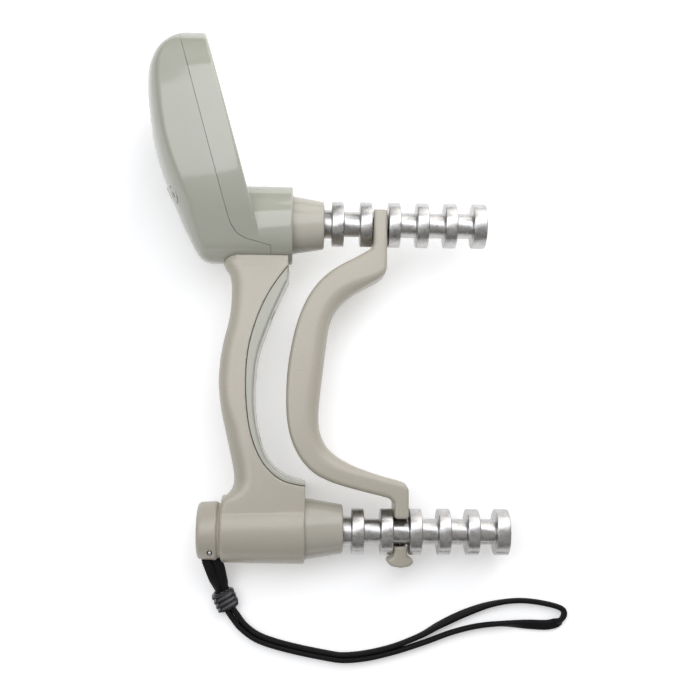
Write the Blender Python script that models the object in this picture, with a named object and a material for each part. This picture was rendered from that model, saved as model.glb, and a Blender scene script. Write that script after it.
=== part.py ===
"""Digital grip-strength dynamometer, lying on its side on a table.

Every shape is drawn in the instrument's own frame, in millimetres: X runs along
the two grooved posts towards their free ends, Y runs up the fixed grip towards
the display head, and Z leaves the plane that holds both post axes.  The empty
"instrument" turns that frame by the lie angle, so that the side of the head and
the lower barrel touch the table at Z = 0, and puts the origin under the middle
of the bounding box.
"""
import math

import bmesh
import bpy
from mathutils import Matrix, Vector

MM = 0.001

# --- driving dimensions, millimetres and degrees ---------------------------
LIE_DEG = 6.5
ORIGIN_X = 9.54
ORIGIN_Y = -20.99
ORIGIN_Z = 24.15

UPPER_Y = 56.95
LOWER_Y = -80.35
LOWER_SHIFT = 9.9
RING_X = -7.8
RING_PITCH = 12.7
RING_COUNT = 6
RING_WIDTH = 5.4
END_RING_WIDTH = 6.0
RING_R = 10.1
NECK_R = 5.65
SHANK_R = 6.5
POST_BACK = -29.0

BOOT_TIP_R = 10.7
BOOT_TAPER = 0.165
BOOT_CONE = 16.6
BOOT_LENGTH = 21.6
BOOT_BORE_R = 8.0
UPPER_BOOT_Y = 56.17
UPPER_BOOT_TIP = -11.2
LOWER_BOOT_Y = -79.25
LOWER_BOOT_TIP = -1.7

BOSS_Y = 55.76
BOSS_R = 17.5
BOSS_END = -25.2
BOSS_BACK = -58.0
BOSS_BORE_R = 15.0

HEAD_TOP = 136.6
HEAD_SHOULDER = 36.85
HEAD_CORNER_R = 20.0
HEAD_WALL = 2.4
CROWN = 9.5
BACK_X = -47.2
BACK_Y = 76.6
BACK_SLOPE = -0.28
REST_FROM = 92.0
REST_TO = 106.0

GAP = 0.3
BARREL_Y = -79.3
BARREL_R = 15.0
BARREL_MOUTH = -18.3
BARREL_BACK = -54.9
LUG_END = -65.2
PIN_X = -59.2
PIN_Y = -89.0
PIN_R = 1.2

HANDLE_HALF = 9.4
HOOK_X = (20.6, 26.9)
FOOT_Y = -74.25
JAW_Y = -86.5

BATTERY_R = 5.25
BATTERY_LENGTH = 44.5
BUTTON_R = 3.8
BUTTON_HEIGHT = 69.0

PLASTIC = ((0.50, 0.50, 0.46, 1.0), 0.28, 0.0)
PAINT = ((0.49, 0.47, 0.42, 1.0), 0.42, 0.0)
ALUMINIUM = ((0.80, 0.80, 0.80, 1.0), 0.25, 1.0)
STEEL = ((0.62, 0.62, 0.63, 1.0), 0.22, 1.0)
BLACK_WEB = ((0.012, 0.012, 0.013, 1.0), 0.85, 0.0)
KEEPER = ((0.035, 0.035, 0.04, 1.0), 0.45, 0.0)
BOARD = ((0.02, 0.16, 0.07, 1.0), 0.5, 0.0)
SILICONE = ((0.25, 0.26, 0.28, 1.0), 0.6, 0.0)
LENS = ((0.05, 0.06, 0.06, 1.0), 0.08, 0.0)
GLASS = ((0.42, 0.47, 0.38, 1.0), 0.15, 0.0)
CELL = ((0.10, 0.10, 0.12, 1.0), 0.35, 0.3)
RUBBER = ((0.07, 0.07, 0.07, 1.0), 0.7, 0.0)

MATERIALS = {}


# --- helpers ---------------------------------------------------------------
def material(finish):
    """One Principled material for each finish, made on first use."""
    if finish not in MATERIALS:
        colour, roughness, metallic = finish
        made = bpy.data.materials.new("finish_%d" % len(MATERIALS))
        made.use_nodes = True
        shader = made.node_tree.nodes["Principled BSDF"]
        shader.inputs["Base Color"].default_value = colour
        shader.inputs["Roughness"].default_value = roughness
        shader.inputs["Metallic"].default_value = metallic
        MATERIALS[finish] = made
    return MATERIALS[finish]


def place(obj, finish=None, origin=(0.0, 0.0, 0.0)):
    """Hang an object on the instrument frame, with its origin where asked."""
    start = Vector(origin) * MM
    obj.data.transform(Matrix.Translation(-start))
    obj.location = start
    obj.parent = INSTRUMENT
    bpy.context.scene.collection.objects.link(obj)
    if finish is not None:
        obj.data.materials.append(material(finish))
    return obj


def solid(name, bm, finish=None, origin=(0.0, 0.0, 0.0)):
    """Turn a closed bmesh, drawn in millimetres, into a placed object."""
    bmesh.ops.recalc_face_normals(bm, faces=bm.faces)
    bmesh.ops.scale(bm, vec=(MM, MM, MM), verts=bm.verts)
    mesh = bpy.data.meshes.new(name)
    bm.to_mesh(mesh)
    bm.free()
    mesh.shade_smooth()
    mesh.set_sharp_from_angle(angle=math.radians(32))
    return place(bpy.data.objects.new(name, mesh), finish, origin)


def rings_to_bmesh(rings, bm=None):
    """Skin a stack of equal loops and close both ends."""
    bm = bm or bmesh.new()
    loops = [[bm.verts.new(point) for point in ring] for ring in rings]
    count = len(loops[0])
    for low, high in zip(loops, loops[1:]):
        for i in range(count):
            j = (i + 1) % count
            bm.faces.new((low[i], low[j], high[j], high[i]))
    bm.faces.new(loops[0])
    bm.faces.new(loops[-1])
    return bm


def lathe_bmesh(profile, centre, axis="X", segments=24, bm=None):
    """Turn (position along the axis, radius) pairs; a radius of 0 makes a tip."""
    bm = bm or bmesh.new()

    def spot(along, radius, angle):
        across = radius * math.cos(angle)
        up = radius * math.sin(angle)
        if axis == "X":
            return (along, centre[0] + across, centre[1] + up)
        if axis == "Y":
            return (centre[0] + across, along, centre[1] + up)
        return (centre[0] + across, centre[1] + up, along)

    loops = []
    for along, radius in profile:
        if radius <= 0.0:
            loops.append([bm.verts.new(spot(along, 0.0, 0.0))])
        else:
            turns = [math.tau * i / segments for i in range(segments)]
            loops.append([bm.verts.new(spot(along, radius, turn)) for turn in turns])
    for first, second in zip(loops, loops[1:]):
        for i in range(segments):
            j = (i + 1) % segments
            corners = [first[i % len(first)], first[j % len(first)]]
            corners += [second[j % len(second)], second[i % len(second)]]
            unique = list(dict.fromkeys(corners))
            if len(unique) > 2:
                bm.faces.new(unique)
    for loop in (loops[0], loops[-1]):
        if len(loop) > 1:
            bm.faces.new(loop)
    return bm


def tube_bmesh(profile, centre, axis="X", segments=24, bm=None):
    """Turn a closed profile that stays clear of the axis, such as a sleeve's."""
    bm = bm or bmesh.new()
    loops = []
    for along, radius in profile:
        ring = []
        for i in range(segments):
            angle = math.tau * i / segments
            across = radius * math.cos(angle)
            up = radius * math.sin(angle)
            if axis == "X":
                ring.append(bm.verts.new((along, centre[0] + across, centre[1] + up)))
            else:
                ring.append(bm.verts.new((centre[0] + across, centre[1] + up, along)))
        loops.append(ring)
    for k, first in enumerate(loops):
        second = loops[(k + 1) % len(loops)]
        for i in range(segments):
            j = (i + 1) % segments
            bm.faces.new((first[i], first[j], second[j], second[i]))
    return bm


def box_bmesh(x, y, z, bm=None):
    """A plain block between two limits on each axis."""
    corners = [(x[0], y[0]), (x[1], y[0]), (x[1], y[1]), (x[0], y[1])]
    return rings_to_bmesh([[(px, py, level) for px, py in corners] for level in z], bm)


def slab_bmesh(outline, half, fillet=0.0, steps=3, weights=None, shift=0.0):
    """Extrude an outline to both sides of Z = shift, with rounded long edges.

    half is a number or a function of Y.  Each point moves inwards along its own
    normal by the fillet times its weight, so one side can be round and the
    other square.
    """
    count = len(outline)
    area = sum(a[0] * b[1] - b[0] * a[1] for a, b in zip(outline, outline[1:] + outline[:1]))
    turn = 1.0 if area > 0 else -1.0
    inward = []
    for i in range(count):
        before = Vector(outline[i - 1])
        here = Vector(outline[i])
        after = Vector(outline[(i + 1) % count])
        one = (here - before).normalized()
        two = (after - here).normalized()
        normal = Vector((-(one + two).y, (one + two).x)).normalized() * turn
        mitre = max(0.5, normal.dot(Vector((-one.y, one.x)) * turn))
        inward.append(normal / mitre)
    weights = weights or [1.0] * count
    levels = [(0.0, 1.0)] if fillet == 0.0 else []
    if fillet > 0.0:
        for k in range(steps + 1):
            angle = math.pi / 2 * k / steps
            levels.append((1.0 - math.cos(angle), math.sin(angle)))
    rings = []
    for side in (-1.0, 1.0):
        chosen = levels[::-1] if side < 0 else levels
        for pull, rise in chosen:
            ring = []
            for i, (x, y) in enumerate(outline):
                reach = half(y) if callable(half) else half
                size = fillet * weights[i]
                point = Vector((x, y)) + inward[i] * size * pull
                ring.append((point.x, point.y, shift + side * (reach - size * (1.0 - rise))))
            rings.append(ring)
    return rings_to_bmesh(rings)


def boolean(target, name, bm, operation="DIFFERENCE"):
    """Cut a target with a hidden tool, join one to it, or keep the common part."""
    tool = solid(name, bm)
    tool.hide_render = True
    tool.display_type = "WIRE"
    modifier = target.modifiers.new(name, "BOOLEAN")
    modifier.operation = operation
    modifier.solver = "EXACT"
    modifier.object = tool
    return tool


def share_tool(target, tool, operation="DIFFERENCE"):
    """Use a tool that already exists on another target."""
    modifier = target.modifiers.new(tool.name, "BOOLEAN")
    modifier.operation = operation
    modifier.solver = "EXACT"
    modifier.object = tool


def lerp_table(table, at):
    """Read a value between the (position, value) pairs of a short table."""
    if at <= table[0][0]:
        return table[0][1]
    for (a, low), (b, high) in zip(table, table[1:]):
        if at <= b:
            return low + (high - low) * (at - a) / (b - a)
    return table[-1][1]


def smooth_path(points, per_span):
    """Points along a Catmull-Rom curve through the given ones."""
    ends = [points[0]] + list(points) + [points[-1]]
    path = []
    for a, b, c, d in zip(ends, ends[1:], ends[2:], ends[3:]):
        a, b, c, d = (Vector(p) for p in (a, b, c, d))
        for k in range(per_span):
            t = k / per_span
            path.append(0.5 * (2 * b + (c - a) * t + (2 * a - 5 * b + 4 * c - d) * t * t
                               + (3 * b - a - 3 * c + d) * t ** 3))
    path.append(Vector(points[-1]))
    return path


# --- display head ----------------------------------------------------------
FRONT_LINE = [
    (38.26, -61.5), (39.5, -65.2), (42.0, -67.6), (46.2, -70.1), (53.0, -73.5), (60.0, -76.6),
    (70.0, -80.9), (80.0, -84.6), (92.0, -87.8), (106.0, -89.9), (116.0, -90.3), (121.0, -89.7),
    (126.0, -88.2), (129.5, -86.2), (132.7, -83.5), (134.9, -80.7), (136.1, -78.2), (136.6, -76.4)]


def back_line(y):
    """X of the flat back of the head at a height."""
    return BACK_X + BACK_SLOPE * (y - BACK_Y)


def head_stations(inset):
    """(height, half-width) pairs of the head's outline, seen from the front."""
    radius = BOSS_R - inset
    stations = []
    for degrees in (9, 20, 32, 45, 57):
        angle = math.radians(degrees)
        stations.append((BOSS_Y - radius * math.cos(angle), radius * math.sin(angle)))
    slope = math.tan(math.radians(LIE_DEG))
    rest_low = 34.8
    rest_high = rest_low + slope * (REST_TO - REST_FROM)
    sides = [(54.0, 19.8), (62.0, 25.1), (70.0, 29.3), (80.0, 32.5)]
    sides += [(REST_FROM, rest_low), (REST_TO, rest_high)]
    stations += [(y, half - inset) for y, half in sides]
    corner_y = HEAD_TOP - HEAD_CORNER_R
    corner_r = HEAD_CORNER_R - inset
    for degrees in (0, 20, 38, 54, 70, 84):
        angle = math.radians(degrees)
        half = HEAD_SHOULDER - HEAD_CORNER_R + corner_r * math.cos(angle)
        stations.append((corner_y + corner_r * math.sin(angle), half))
    return stations


def head_section(y, half, inset):
    """One level loop of the head: flat back, straight sides, crowned front."""
    back = back_line(y) - inset
    front = lerp_table(FRONT_LINE, y + inset * (y - 90.0) / 50.0) + inset
    crown = min(CROWN, 0.4 * half)
    side = front + crown
    edge = min(1.2, 0.3 * half)
    loop = [(back, half - edge), (back - 0.3 * edge, half - 0.3 * edge), (back - edge, half)]
    for degrees in (0, 18, 36, 54, 72, 90):
        angle = math.radians(degrees)
        loop.append((side - crown * math.sin(angle), half * math.cos(angle)))
    loop += [(x, -z) for x, z in loop[-2::-1]]
    return [(x, y, z) for x, z in loop]


def head_bmesh(inset=0.0):
    """The head's whole outer form, or the same form drawn in by a wall."""
    return rings_to_bmesh([head_section(y, half, inset) for y, half in head_stations(inset)])


def parting_outline(shift):
    """Region of the front cover, ending in a tongue under the boss."""
    top = HEAD_TOP + 10.0
    line = [(back_line(top) - 11.4, top), (-53.0, 55.5), (-51.9, 52.6), (-49.3, 49.0), (-45.8, 47.1),
            (-40.4, 45.8), (-34.7, 44.4), (-34.7, 20.0), (-110.0, 20.0), (-110.0, top)]
    return [(x + shift, y + shift) for x, y in line]


def front_normal(z):
    """Outward direction of the front face where the buttons are."""
    sideways = 0.018 * z
    return Vector((-0.917, -0.399, sideways)).normalized()


def button_seat(z):
    """Middle of a button on the front face."""
    y = BUTTON_HEIGHT - abs(z) * 0.22
    half = lerp_table(head_stations(0.0), y)
    crown = min(CROWN, 0.4 * half)
    x = lerp_table(FRONT_LINE, y) + crown * (1.0 - math.sqrt(1.0 - (z / half) ** 2))
    return Vector((x, y, z))


def aimed_lathe(profile, base, direction, segments=20):
    """Turn a profile about a slanting axis that starts at base."""
    bm = lathe_bmesh(profile, (0.0, 0.0), "Z", segments)
    turn = Vector((0.0, 0.0, 1.0)).rotation_difference(direction).to_matrix().to_4x4()
    bmesh.ops.transform(bm, matrix=Matrix.Translation(base) @ turn, verts=bm.verts)
    return bm


CARRIER_SCREWS = (-41.6, -36.4)
SCREW_SPOTS = [(60.0, 12.0), (60.0, -12.0), (127.0, 18.0), (127.0, -18.0)]
BACK_NORMAL = Vector((1.0, -BACK_SLOPE, 0.0)).normalized()
BUTTONS = (("button_units", 17.0, 6.2), ("button_power", 0.0, 8.6), ("button_reset", -17.0, 6.2))
WINDOW_Y = (92.0, 122.0)
WINDOW_HALF = 23.0
DOOR_Y = (90.0, 120.0)
DOOR_HALF = 25.0


def slanted_block(near, far, y_range, half, shift=0.0):
    """A block parallel to the head's back, between two depths below it."""
    low, high = y_range
    outline = [(back_line(low) - far, low), (back_line(low) - near, low),
               (back_line(high) - near, high), (back_line(high) - far, high)]
    return slab_bmesh(outline, half, shift=shift)


def build_head():
    """Both covers, the window, the buttons, the battery door and what is inside."""
    front = solid("front_cover", head_bmesh(), PLASTIC)
    rear = solid("rear_cover", head_bmesh(), PLASTIC)
    barrel = [(BOSS_BACK, BOSS_R), (BOSS_END - 0.5, BOSS_R), (BOSS_END, BOSS_R - 0.5)]
    boss = boolean(front, "boss_form", lathe_bmesh(barrel, (BOSS_Y, 0.0), segments=36), "UNION")
    share_tool(rear, boss, "UNION")
    cavity = boolean(front, "head_cavity", head_bmesh(HEAD_WALL))
    share_tool(rear, cavity)
    bore = [(BOSS_BACK + 4.0, BOSS_BORE_R), (BOSS_END - 2.4, BOSS_BORE_R)]
    boss_bore = boolean(front, "boss_bore", lathe_bmesh(bore, (BOSS_Y, 0.0), segments=36))
    share_tool(rear, boss_bore)
    mouth = [(BOSS_END - 4.0, 13.9), (BOSS_END - 2.4, 13.75), (BOSS_END + 1.0, 13.15)]
    boolean(rear, "boss_mouth", lathe_bmesh(mouth, (UPPER_BOOT_Y, 0.0), segments=36))
    foot_hole = box_bmesh((-49.2, -32.0), (30.0, 48.0), (-7.6, 7.6))
    opening = boolean(front, "carrier_opening", foot_hole)
    share_tool(rear, opening)
    for k, (y, z) in enumerate(SCREW_SPOTS):
        base = Vector((back_line(y), y, z)) - BACK_NORMAL * 26.0
        pillar = aimed_lathe([(0, 3.4), (22, 3.4)], base, BACK_NORMAL)
        boolean(front, "pillar_%d" % k, pillar, "UNION")
    boolean(front, "front_region", slab_bmesh(parting_outline(0.0), 60.0), "INTERSECT")
    boolean(rear, "rear_region", slab_bmesh(parting_outline(GAP), 60.0))
    for k, (y, z) in enumerate(SCREW_SPOTS):
        base = Vector((back_line(y), y, z)) - BACK_NORMAL * 19.0
        drill = boolean(front, "drill_%d" % k, aimed_lathe([(0, 1.6), (30, 1.6)], base, BACK_NORMAL, 12))
        share_tool(rear, drill)
        sink = Vector((back_line(y), y, z)) - BACK_NORMAL * 1.5
        boolean(rear, "counterbore_%d" % k, aimed_lathe([(0, 3.0), (9, 3.0)], sink, BACK_NORMAL, 16))
    for name, z, depth in BUTTONS:
        seat = button_seat(z)
        outward = front_normal(z)
        hole = aimed_lathe([(0, BUTTON_R + GAP), (12, BUTTON_R + GAP)], seat - outward * 7.0, outward)
        boolean(front, name + "_hole", hole)
        cap = [(0.0, 0.0), (0.0, 2.4), (depth - 4.4, 2.4), (depth - 4.4, 4.8), (depth - 3.5, 4.8),
               (depth - 3.5, BUTTON_R), (depth, BUTTON_R), (depth + 0.3, BUTTON_R - 0.5), (depth + 0.5, 0.0)]
        solid(name, aimed_lathe(cap, seat - outward * depth, outward, 18), PLASTIC, tuple(seat))
    window_hole = box_bmesh((-110.0, -74.0), WINDOW_Y, (-WINDOW_HALF, WINDOW_HALF))
    boolean(front, "window_hole", window_hole)
    window = solid("lcd_window", head_bmesh(0.25), LENS)
    boolean(window, "window_back", head_bmesh(1.9))
    low, high = WINDOW_Y
    reach = WINDOW_HALF - GAP
    boolean(window, "window_limits", box_bmesh((-110.0, -76.0), (low + GAP, high - GAP), (-reach, reach)),
            "INTERSECT")
    solid("lcd_panel", slanted_block(22.4, 25.2, (94.0, 116.5), 21.0), GLASS)
    solid("main_board", slanted_block(20.4, 22.0, (58.0, 119.0), 20.0), BOARD)
    solid("keypad_mat", slanted_block(22.3, 23.6, (59.0, 76.0), 20.0), SILICONE)
    boolean(rear, "door_hole", slanted_block(-1.0, 3.0, DOOR_Y, DOOR_HALF))
    low, high = DOOR_Y
    door = slanted_block(0.1, 2.2, (low + GAP, high - GAP), DOOR_HALF - GAP)
    solid("battery_cover", door, PLASTIC, (back_line(105.0), 105.0, 0.0))
    ends = BATTERY_LENGTH / 2
    can = [(-ends, 0.0), (-ends, BATTERY_R - 0.4), (-ends + 0.4, BATTERY_R), (ends - 1.4, BATTERY_R),
           (ends - 1.0, BATTERY_R - 0.5), (ends - 0.9, 1.9), (ends, 1.7), (ends, 0.0)]
    for k, y in enumerate((98.5, 111.5)):
        facing = 1.0 if k == 0 else -1.0
        turned = [(along * facing, radius) for along, radius in can][::int(facing)]
        centre = (back_line(y) - 9.0, y)
        solid("battery_%d" % (k + 1), lathe_bmesh(turned, centre, "Z", 16), CELL)


def build_tray():
    """A battery tray whose end walls rise from its floor."""
    holder = solid("battery_tray", slanted_block(15.0, 16.4, (91.5, 118.5), 24.6), SILICONE)
    for k, side in enumerate((-1.0, 1.0)):
        wall = slanted_block(5.0, 15.8, (91.5, 118.5), 0.5, shift=side * 24.1)
        boolean(holder, "tray_wall_%d" % k, wall, "UNION")
    plates = (("contact_bridge", 1.0, (95.5, 114.5)), ("contact_plus", -1.0, (95.5, 101.5)),
              ("contact_minus", -1.0, (108.5, 114.5)))
    for name, side, limits in plates:
        solid(name, slanted_block(6.0, 12.0, limits, 0.25, shift=side * 22.95), STEEL)


# --- posts, load cells and boots -------------------------------------------
def post_profile(shift):
    """Shank, six rings with five grooves between them, and a centre drilling."""
    profile = [(POST_BACK + shift, 0.0), (POST_BACK + shift, SHANK_R), (RING_X + shift, SHANK_R)]
    for k in range(RING_COUNT):
        left = RING_X + shift + RING_PITCH * k
        last = k == RING_COUNT - 1
        right = left + (END_RING_WIDTH if last else RING_WIDTH)
        profile += [(left, RING_R - 0.3), (left + 0.3, RING_R), (right - 0.3, RING_R)]
        profile += [(right, RING_R - 0.3)]
        if not last:
            profile += [(right, NECK_R), (left + RING_PITCH, NECK_R)]
    end = profile[-1][0]
    return profile + [(end, 1.6), (end - 1.8, 0.0)]


def boot_profile(tip):
    """A tapered sleeve on a plain collar, open through the middle."""
    back = tip - BOOT_LENGTH
    wide = BOOT_TIP_R + BOOT_TAPER * BOOT_CONE
    return [(back, BOOT_BORE_R + 2.3), (back, wide - 0.1), (tip - BOOT_CONE, wide),
            (tip - 0.5, BOOT_TIP_R), (tip, BOOT_TIP_R - 0.5), (tip, BOOT_BORE_R),
            (tip - 2.4, BOOT_BORE_R), (tip - 2.4, BOOT_BORE_R + 1.4)]


def build_post(name, axis_y, shift, boot_y, boot_tip):
    """One post with its load cell, screw and boot."""
    solid(name + "_post", lathe_bmesh(post_profile(shift), (axis_y, 0.0)), ALUMINIUM)
    right = POST_BACK + shift - GAP
    left = right - 15.0
    cell = [(left, 3.2), (left, 8.6), (left + 3.5, 8.6), (left + 4.5, 6.2), (right - 4.5, 6.2),
            (right - 3.5, 8.6), (right, 8.6), (right, 3.2)]
    solid(name + "_load_cell", tube_bmesh(cell, (axis_y, 0.0), segments=20), STEEL)
    solid(name + "_boot", tube_bmesh(boot_profile(boot_tip), (boot_y, 0.0), segments=32), PLASTIC)
    return left


def screw_profile(head_at, tip_at, head_r, shank_r, head_height):
    """Head and shank of a screw along one axis, head end first."""
    way = 1.0 if tip_at > head_at else -1.0
    under = head_at + way * head_height
    return [(head_at, 0.0), (head_at, head_r), (under, head_r), (under, shank_r),
            (tip_at, shank_r), (tip_at, 0.0)]


def build_posts():
    """Both posts, the bracket that carries the upper one, and the two post screws."""
    left_upper = build_post("upper", UPPER_Y, 0.0, UPPER_BOOT_Y, UPPER_BOOT_TIP)
    left_lower = build_post("lower", LOWER_Y, LOWER_SHIFT, LOWER_BOOT_Y, LOWER_BOOT_TIP)
    plate = box_bmesh((left_upper - GAP - 4.0, left_upper - GAP), (48.0, 66.5), (-7.0, 7.0))
    carrier = solid("post_carrier", plate, STEEL)
    neck = box_bmesh((left_upper - GAP - 4.0, left_upper - GAP), (40.0, 49.0), (-7.0, 3.6))
    boolean(carrier, "carrier_neck", neck, "UNION")
    boolean(carrier, "carrier_foot", box_bmesh((-46.0, -34.0), (36.0, 41.5), (-7.0, 3.6)), "UNION")
    for k, x in enumerate(CARRIER_SCREWS):
        hole = lathe_bmesh([(30.0, 1.75), (50.0, 1.75)], (x, -1.7), "Y", 12)
        boolean(carrier, "carrier_hole_%d" % k, hole)
        profile = screw_profile(43.9, 30.0, 2.5, 1.4, 2.0)
        solid("carrier_screw_%d" % (k + 1), lathe_bmesh(profile, (x, -1.7), "Y", 12), STEEL)
    saw = lathe_bmesh([(-60.0, 3.0), (-30.0, 3.0)], (UPPER_Y, 0.0), segments=16)
    boolean(carrier, "carrier_bore", saw)
    heads = (("upper", left_upper - GAP - 4.0 - GAP, left_upper, UPPER_Y),
             ("lower", left_lower - GAP, left_lower, LOWER_Y))
    for name, under, left, axis_y in heads:
        profile = screw_profile(under - 3.0, left + 11.0, 4.3, 2.5, 3.0)
        solid(name + "_post_screw", lathe_bmesh(profile, (axis_y, 0.0), segments=12), STEEL)
    return left_lower


# --- fixed grip ------------------------------------------------------------
PALM = [(-55.8, 37.3), (-54.9, 35.4), (-53.0, 32.8), (-52.0, 29.0), (-51.8, 24.0), (-52.1, 17.0),
        (-53.1, 10.5), (-54.8, 3.5), (-56.2, -5.0), (-56.8, -14.0), (-56.3, -21.5), (-55.2, -29.0),
        (-53.4, -37.5), (-51.3, -46.5), (-49.8, -53.5), (-49.5, -58.5), (-50.6, -62.2), (-54.2, -66.0)]
SEAM = [(-26.9, 36.3), (-32.1, 29.4), (-36.5, 21.9), (-40.1, 13.5), (-42.9, 4.1), (-44.3, -4.2),
        (-44.8, -12.9), (-44.6, -20.6), (-43.9, -28.6), (-42.6, -36.1), (-40.3, -43.3), (-36.9, -49.9),
        (-32.4, -55.0), (-26.5, -58.5), (-18.3, -60.2)]
FINGER_SIDE = [
    (-26.9, 30.6), (-30.0, 23.7), (-33.2, 16.3), (-36.0, 9.0), (-38.7, 1.3), (-40.4, -6.0), (-41.1, -13.5),
    (-41.3, -20.5), (-40.9, -28.0), (-39.7, -35.5), (-37.7, -43.0), (-34.6, -49.3), (-30.2, -53.8),
    (-25.0, -56.7), (-18.3, -58.7)]
CAVITY = [(-26.0, 27.0), (-46.0, 27.0), (-47.2, 18.0), (-50.5, 0.0), (-52.5, -14.0),
          (-50.5, -30.0), (-46.0, -47.0), (-42.0, -62.0), (-34.0, -64.0), (-20.0, -50.0), (-30.0, -30.0),
          (-38.0, -14.0), (-32.0, 6.0)]
STRIP_SCREWS = ((-34.0, 14.6), (-38.4, -40.6))


def grip_half(y):
    """Half-width of the fixed grip: narrow under the head, wide at the barrel."""
    return lerp_table([(-65.0, 13.0), (-40.0, 12.6), (0.0, 12.2), (25.0, 11.2), (44.0, 10.0)], y)


def build_grip(left_lower):
    """The hollow casting with its barrel and strap lug, and the strip that closes it."""
    outline = PALM + [(-54.2, -72.0), (-18.3, -72.0)] + SEAM[::-1]
    outline += [(-26.9, 44.0), (-51.0, 44.0), (-54.4, 41.2)]
    weights = [1.0] * len(PALM) + [0.0] * 2 + [0.0] * len(SEAM) + [0.0, 0.6, 0.9]
    grip = solid("grip_body", slab_bmesh(outline, grip_half, 6.0, 3, weights), PAINT)
    barrel = [(BARREL_BACK - 1.2, 12.2), (BARREL_BACK, BARREL_R - 0.9), (BARREL_BACK + 1.5, BARREL_R - 0.3),
              (-40.0, BARREL_R), (BARREL_MOUTH - 0.5, BARREL_R + 0.2), (BARREL_MOUTH, BARREL_R - 0.3)]
    boolean(grip, "barrel_form", lathe_bmesh(barrel, (BARREL_Y, 0.0), segments=36), "UNION")
    lug = [(LUG_END - 0.2, 0.0), (LUG_END, 10.0), (LUG_END + 0.6, 11.6), (LUG_END + 1.8, 12.4),
           (BARREL_BACK - 2.0, 13.0), (BARREL_BACK + 3.0, 13.0), (BARREL_BACK + 3.0, 0.0)]
    boolean(grip, "lug_form", lathe_bmesh(lug, (-80.3, 0.0), segments=32), "UNION")
    saddle = [(-70.0, BOSS_R + GAP), (-20.0, BOSS_R + GAP)]
    boolean(grip, "saddle_cut", lathe_bmesh(saddle, (BOSS_Y, 0.0), segments=36))
    boolean(grip, "grip_cavity", slab_bmesh(CAVITY, 8.4))
    for k, (x, y) in enumerate(STRIP_SCREWS):
        rib = box_bmesh((x - 12.0, x - 7.6), (y - 3.2, y + 3.2), (-9.0, 3.4))
        boolean(grip, "screw_rib_%d" % k, rib, "UNION")
        boolean(grip, "rib_hole_%d" % k, lathe_bmesh([(x - 11.0, 1.5), (x, 1.5)], (y, 0.0), segments=12))
    boolean(grip, "lower_cable_passage", box_bmesh((-34.0, -26.2), (-72.0, -59.6), (-2.4, 2.4)))
    boolean(grip, "upper_cable_passage", lathe_bmesh([(22.0, 2.0), (38.0, 2.0)], (-40.0, 5.6), "Y", 12))
    for k, x in enumerate(CARRIER_SCREWS):
        hole = lathe_bmesh([(29.0, 1.7), (38.0, 1.7)], (x, -1.7), "Y", 12)
        boolean(grip, "casting_hole_%d" % k, hole)
    bore = lathe_bmesh([(left_lower - GAP, 11.2), (BARREL_MOUTH + 4.0, 11.2)], (LOWER_Y, 0.0), segments=30)
    boolean(grip, "barrel_bore", bore)
    boot_room = [(LOWER_BOOT_TIP - BOOT_LENGTH - 1.0, 13.75), (BARREL_MOUTH + 4.0, 13.75)]
    boolean(grip, "boot_room", lathe_bmesh(boot_room, (LOWER_BOOT_Y, 0.0), segments=36))
    screw_room = lathe_bmesh([(left_lower - 4.4, 4.8), (left_lower + 2.0, 4.8)], (LOWER_Y, 0.0), segments=16)
    boolean(grip, "screw_room", screw_room)
    boolean(grip, "carrier_seat", box_bmesh((-46.4, -33.6), (35.6, 46.0), (-7.4, 7.4)))
    pin_hole = lathe_bmesh([(-20.0, PIN_R + 0.05), (20.0, PIN_R + 0.05)], (PIN_X, PIN_Y), "Z", 16)
    boolean(grip, "pin_hole", pin_hole)
    slot = box_bmesh((PIN_X - 4.6, PIN_X + 4.6), (-100.0, PIN_Y + 4.6), (-3.2, 3.2))
    boolean(grip, "strap_slot", slot)
    reach = math.sqrt(12.6 ** 2 - (PIN_Y + 80.3) ** 2) - 0.2
    pin = lathe_bmesh([(-reach, PIN_R), (reach, PIN_R)], (PIN_X, PIN_Y), "Z", 16)
    solid("strap_pin", pin, STEEL)
    build_strip()


def offset_line(points, distance):
    """The same open line, moved to its right-hand side by a distance."""
    moved = []
    for i, point in enumerate(points):
        before = Vector(points[max(i - 1, 0)])
        after = Vector(points[min(i + 1, len(points) - 1)])
        along = (after - before).normalized()
        moved.append((point[0] - along.y * distance, point[1] + along.x * distance))
    return moved


def build_strip():
    """The plastic strip on the finger side of the grip, with its two screws."""
    inner = offset_line(SEAM, GAP)
    outline = inner + FINGER_SIDE[::-1]
    weights = [0.0] * len(inner) + [1.0] * len(FINGER_SIDE)
    weights[len(inner):len(inner) + 4] = [0.25, 0.35, 0.6, 0.8]
    weights[-1] = 0.3
    strip = solid("grip_front_cover", slab_bmesh(outline, grip_half, 1.0, 2, weights), PLASTIC)
    for k, (x, y) in enumerate(STRIP_SCREWS):
        hole = [(x - 12.0, 1.6), (x - 2.2, 1.6), (x - 2.2, 2.9), (x + 6.0, 2.9)]
        boolean(strip, "strip_hole_%d" % k, lathe_bmesh(hole, (y, 0.0), segments=14))
        head = screw_profile(x - 0.6, x - 9.0, 2.6, 1.3, 1.3)
        solid("strip_screw_%d" % (k + 1), lathe_bmesh(head, (y, 0.0), segments=12), STEEL)


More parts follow.
